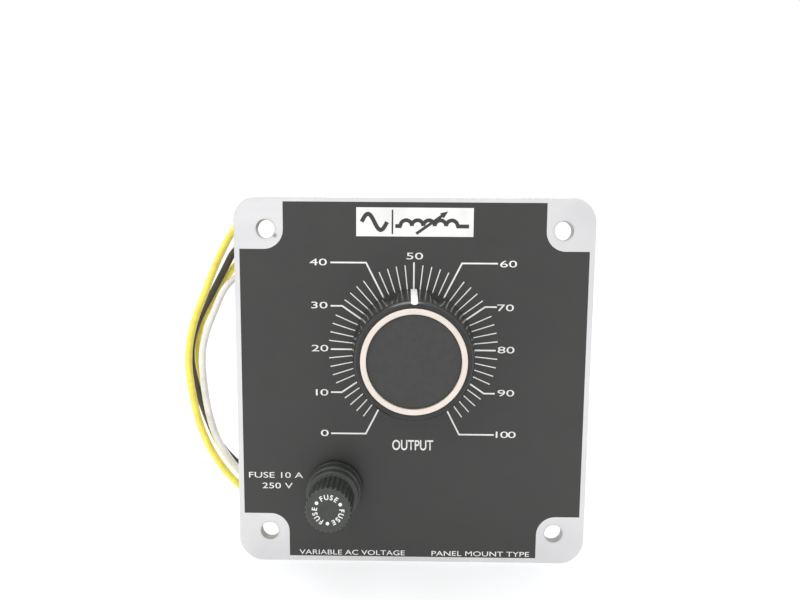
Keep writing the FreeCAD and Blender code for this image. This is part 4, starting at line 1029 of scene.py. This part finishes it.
# Each lead: its cover, its length in metres and the points of its route in millimetres.
LEADS = {
    "lead_yellow_outer": ("yellow_insulation", 0.222, [
        (-43.8, 28.0, 48.0), (-47.2, 28.0, 50.1), (-50.6, 27.9, 54.2), (-55.0, 27.4, 56.3),
        (-60.2, 26.4, 55.4), (-64.0, 25.2, 51.6), (-66.8, 23.7, 46.6), (-70.3, 21.8, 38.6),
        (-74.0, 18.9, 27.4), (-77.7, 16.5, 16.8), (-79.4, 15.0, 4.6), (-77.7, 14.2, -7.8),
        (-75.2, 14.0, -19.6), (-70.0, 14.2, -31.4), (-62.0, 15.2, -41.8), (-51.3, 16.4, -50.8),
        (-39.1, 17.6, -57.2), (-25.2, 18.0, -58.8), (-11.2, 17.0, -58.7), (3.0, 15.6, -58.8),
        (16.6, 16.0, -58.7), (29.4, 18.6, -58.8)]),
    "lead_black": ("black_insulation", 0.202, [
        (-47.0, 28.0, 42.4), (-52.2, 28.1, 45.0), (-58.8, 27.7, 46.6), (-64.9, 26.4, 43.6),
        (-68.4, 25.0, 36.0), (-72.9, 24.4, 27.4), (-78.2, 23.3, 17.4), (-81.1, 22.0, 6.0),
        (-78.5, 20.4, -6.0), (-74.7, 20.2, -17.8), (-70.3, 20.8, -29.0), (-61.4, 22.4, -38.8),
        (-51.4, 25.0, -47.8), (-40.6, 27.8, -55.2), (-28.0, 29.2, -58.8), (-14.4, 29.4, -58.7),
        (-1.0, 27.8, -58.8), (11.6, 28.0, -58.7), (23.2, 30.8, -58.8)]),
    "lead_yellow_inner": ("yellow_insulation", 0.194, [
        (-50.3, 28.0, 36.8), (-54.6, 28.1, 39.2), (-59.8, 28.6, 40.5), (-64.5, 28.6, 38.6),
        (-67.8, 28.0, 34.4), (-70.3, 27.8, 29.2), (-74.0, 27.2, 23.6), (-77.9, 26.6, 17.0),
        (-79.7, 25.8, 8.0), (-78.5, 25.2, -3.8), (-76.8, 25.2, -15.8), (-74.0, 26.0, -27.4),
        (-67.8, 27.8, -37.6), (-58.0, 30.4, -46.8), (-45.9, 33.2, -54.8), (-29.0, 35.0, -58.8),
        (-15.4, 35.2, -58.7), (-2.0, 33.8, -58.8), (10.4, 34.4, -58.7), (21.8, 37.4, -58.8)]),
    "lead_white": ("white_insulation", 0.187, [
        (-53.5, 28.0, 31.2), (-57.0, 27.9, 33.3), (-61.0, 27.2, 34.2), (-65.6, 24.9, 32.6),
        (-68.6, 22.0, 28.0), (-70.7, 20.4, 22.0), (-73.6, 19.6, 14.8), (-75.7, 19.2, 6.4),
        (-75.1, 18.4, -3.6), (-73.4, 17.6, -14.8), (-70.4, 17.4, -25.4), (-64.3, 18.2, -35.8),
        (-55.5, 19.8, -44.8), (-45.4, 21.8, -52.6), (-33.6, 23.4, -57.8), (-20.6, 23.8, -58.8),
        (-7.4, 22.8, -58.7), (5.4, 21.6, -58.8), (17.4, 22.2, -58.7), (28.2, 24.8, -58.8)]),
}
LEAD_DIAMETER = 2.5
TIP_LENGTH = 8.0
STRAND_DIAMETER = 0.44
STRAND_RING = 0.42
STRAND_TWIST = 1.3

# Each jumper: its cover and the points of its route in millimetres.
JUMPERS = {
    "jumper_line": ("black_insulation", [
        (-35.8, 29.4, 35.9), (-38.2, 31.4, 32.4), (-41.4, 33.2, 26.6), (-44.4, 33.6, 18.0),
        (-45.8, 33.6, 7.6), (-46.2, 32.6, -3.4), (-46.4, 29.4, -14.0), (-45.6, 24.4, -22.4),
        (-43.6, 18.2, -28.8), (-41.4, 13.6, -32.8), (-39.0, 11.9, -34.3)]),
    "jumper_fuse": ("black_insulation", [
        (-25.2, 41.6, -33.8), (-21.9, 41.2, -33.9), (-17.8, 39.0, -34.6), (-13.6, 35.0, -34.4),
        (-10.2, 30.4, -33.4), (-7.8, 26.6, -31.8), (-6.4, 24.0, -29.9)]),
    "jumper_output": ("yellow_insulation", [
        (0.0, 39.4, -33.0), (-4.8, 39.3, -33.4), (-11.8, 38.0, -31.8), (-20.8, 37.0, -27.6),
        (-30.0, 36.8, -20.8), (-37.4, 36.8, -11.2), (-42.2, 36.8, 0.0), (-43.8, 36.8, 11.6),
        (-42.2, 36.4, 22.8), (-39.0, 35.4, 31.2), (-35.4, 33.2, 37.6), (-33.5, 31.0, 40.1),
        (-32.4, 29.4, 42.0)]),
    "jumper_neutral": ("white_insulation", [
        (-35.4, 20.0, -13.0), (-38.2, 21.4, -11.2), (-41.8, 24.2, -5.6), (-43.9, 27.2, 2.4),
        (-44.8, 29.4, 10.4), (-44.0, 30.0, 17.4), (-42.4, 29.6, 22.0), (-41.4, 29.4, 24.6)]),
}
JUMPER_DIAMETER = 1.8


def wire_curve(name, routes, diameter, material):
    """Round wire along one or more smooth lines, each led by the points of its route, in millimetres."""
    data = bpy.data.curves.new(name, "CURVE")
    data.dimensions = "3D"
    data.bevel_depth = diameter / 2 * MM
    data.bevel_resolution = 5
    data.resolution_u = 10
    data.use_fill_caps = True
    for route in routes:
        spline = data.splines.new("NURBS")
        spline.points.add(len(route) - 1)
        for point, place in zip(spline.points, route):
            point.co = (*(Vector(place) * MM), 1.0)
        spline.order_u = 3
        spline.use_endpoint_u = True
    data.materials.append(MATERIALS[material])
    piece = linked(name, data)
    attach(piece, "chassis")
    return piece


def stripped_end(name, start, before):
    """Bare end of a lead: six strands twisted round a seventh, tinned."""
    along = (Vector(start) - Vector(before)).normalized()
    side = along.cross(Vector((0, 0, 1))).normalized()
    other = along.cross(side)
    strands = [[tuple(Vector(start) + along * TIP_LENGTH * t / 12) for t in range(13)]]
    for strand in range(6):
        points = []
        for i in range(33):
            t = i / 32
            angle = 2 * math.pi * (strand / 6 + STRAND_TWIST * t)
            reach = STRAND_RING * (1 - 0.25 * t ** 3)
            offset = side * math.cos(angle) * reach + other * math.sin(angle) * reach
            points.append(tuple(Vector(start) + along * (TIP_LENGTH * t - 0.3 * (1 - t)) + offset))
        strands.append(points)
    return wire_curve(name, strands, STRAND_DIAMETER, "tinned_copper")


def wires():
    """Four fly leads with stripped ends, and the four short wires between the terminals."""
    for node, (cover, length, route) in LEADS.items():
        lead = wire_curve(f"{node}_wire", [route], LEAD_DIAMETER, cover)
        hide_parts(node)
        end = stripped_end(f"{node}_strands", route[-1], route[-2])
        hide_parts(f"{node}_end")
    for node, (cover, route) in JUMPERS.items():
        wire = wire_curve(f"{node}_wire", [route], JUMPER_DIAMETER, cover)
        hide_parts(node)


# ------------------------------------------------------------------ the rest

def finish_nodes():
    """Give every node of the frame the material of its slot."""
    for part in frame["record"]["subparts"]:
        node = frame["nodes"][part["node"]]
        slot = part["material_slot"]
        moulded = part["node"].startswith("fuse_") and slot == "black_moulding"
        material = MATERIALS["fuse_plastic" if moulded else slot]
        if not node.material_slots:
            node.data.materials.append(material)
        for holder in node.material_slots:
            holder.material = material


camera()
studio()
MATERIALS = all_materials()
finish_nodes()
printed_area()
dial_marks()
printed_words()
sign()
knob()
fuse_holder()
coil_winding()
brush_spring()
wires()
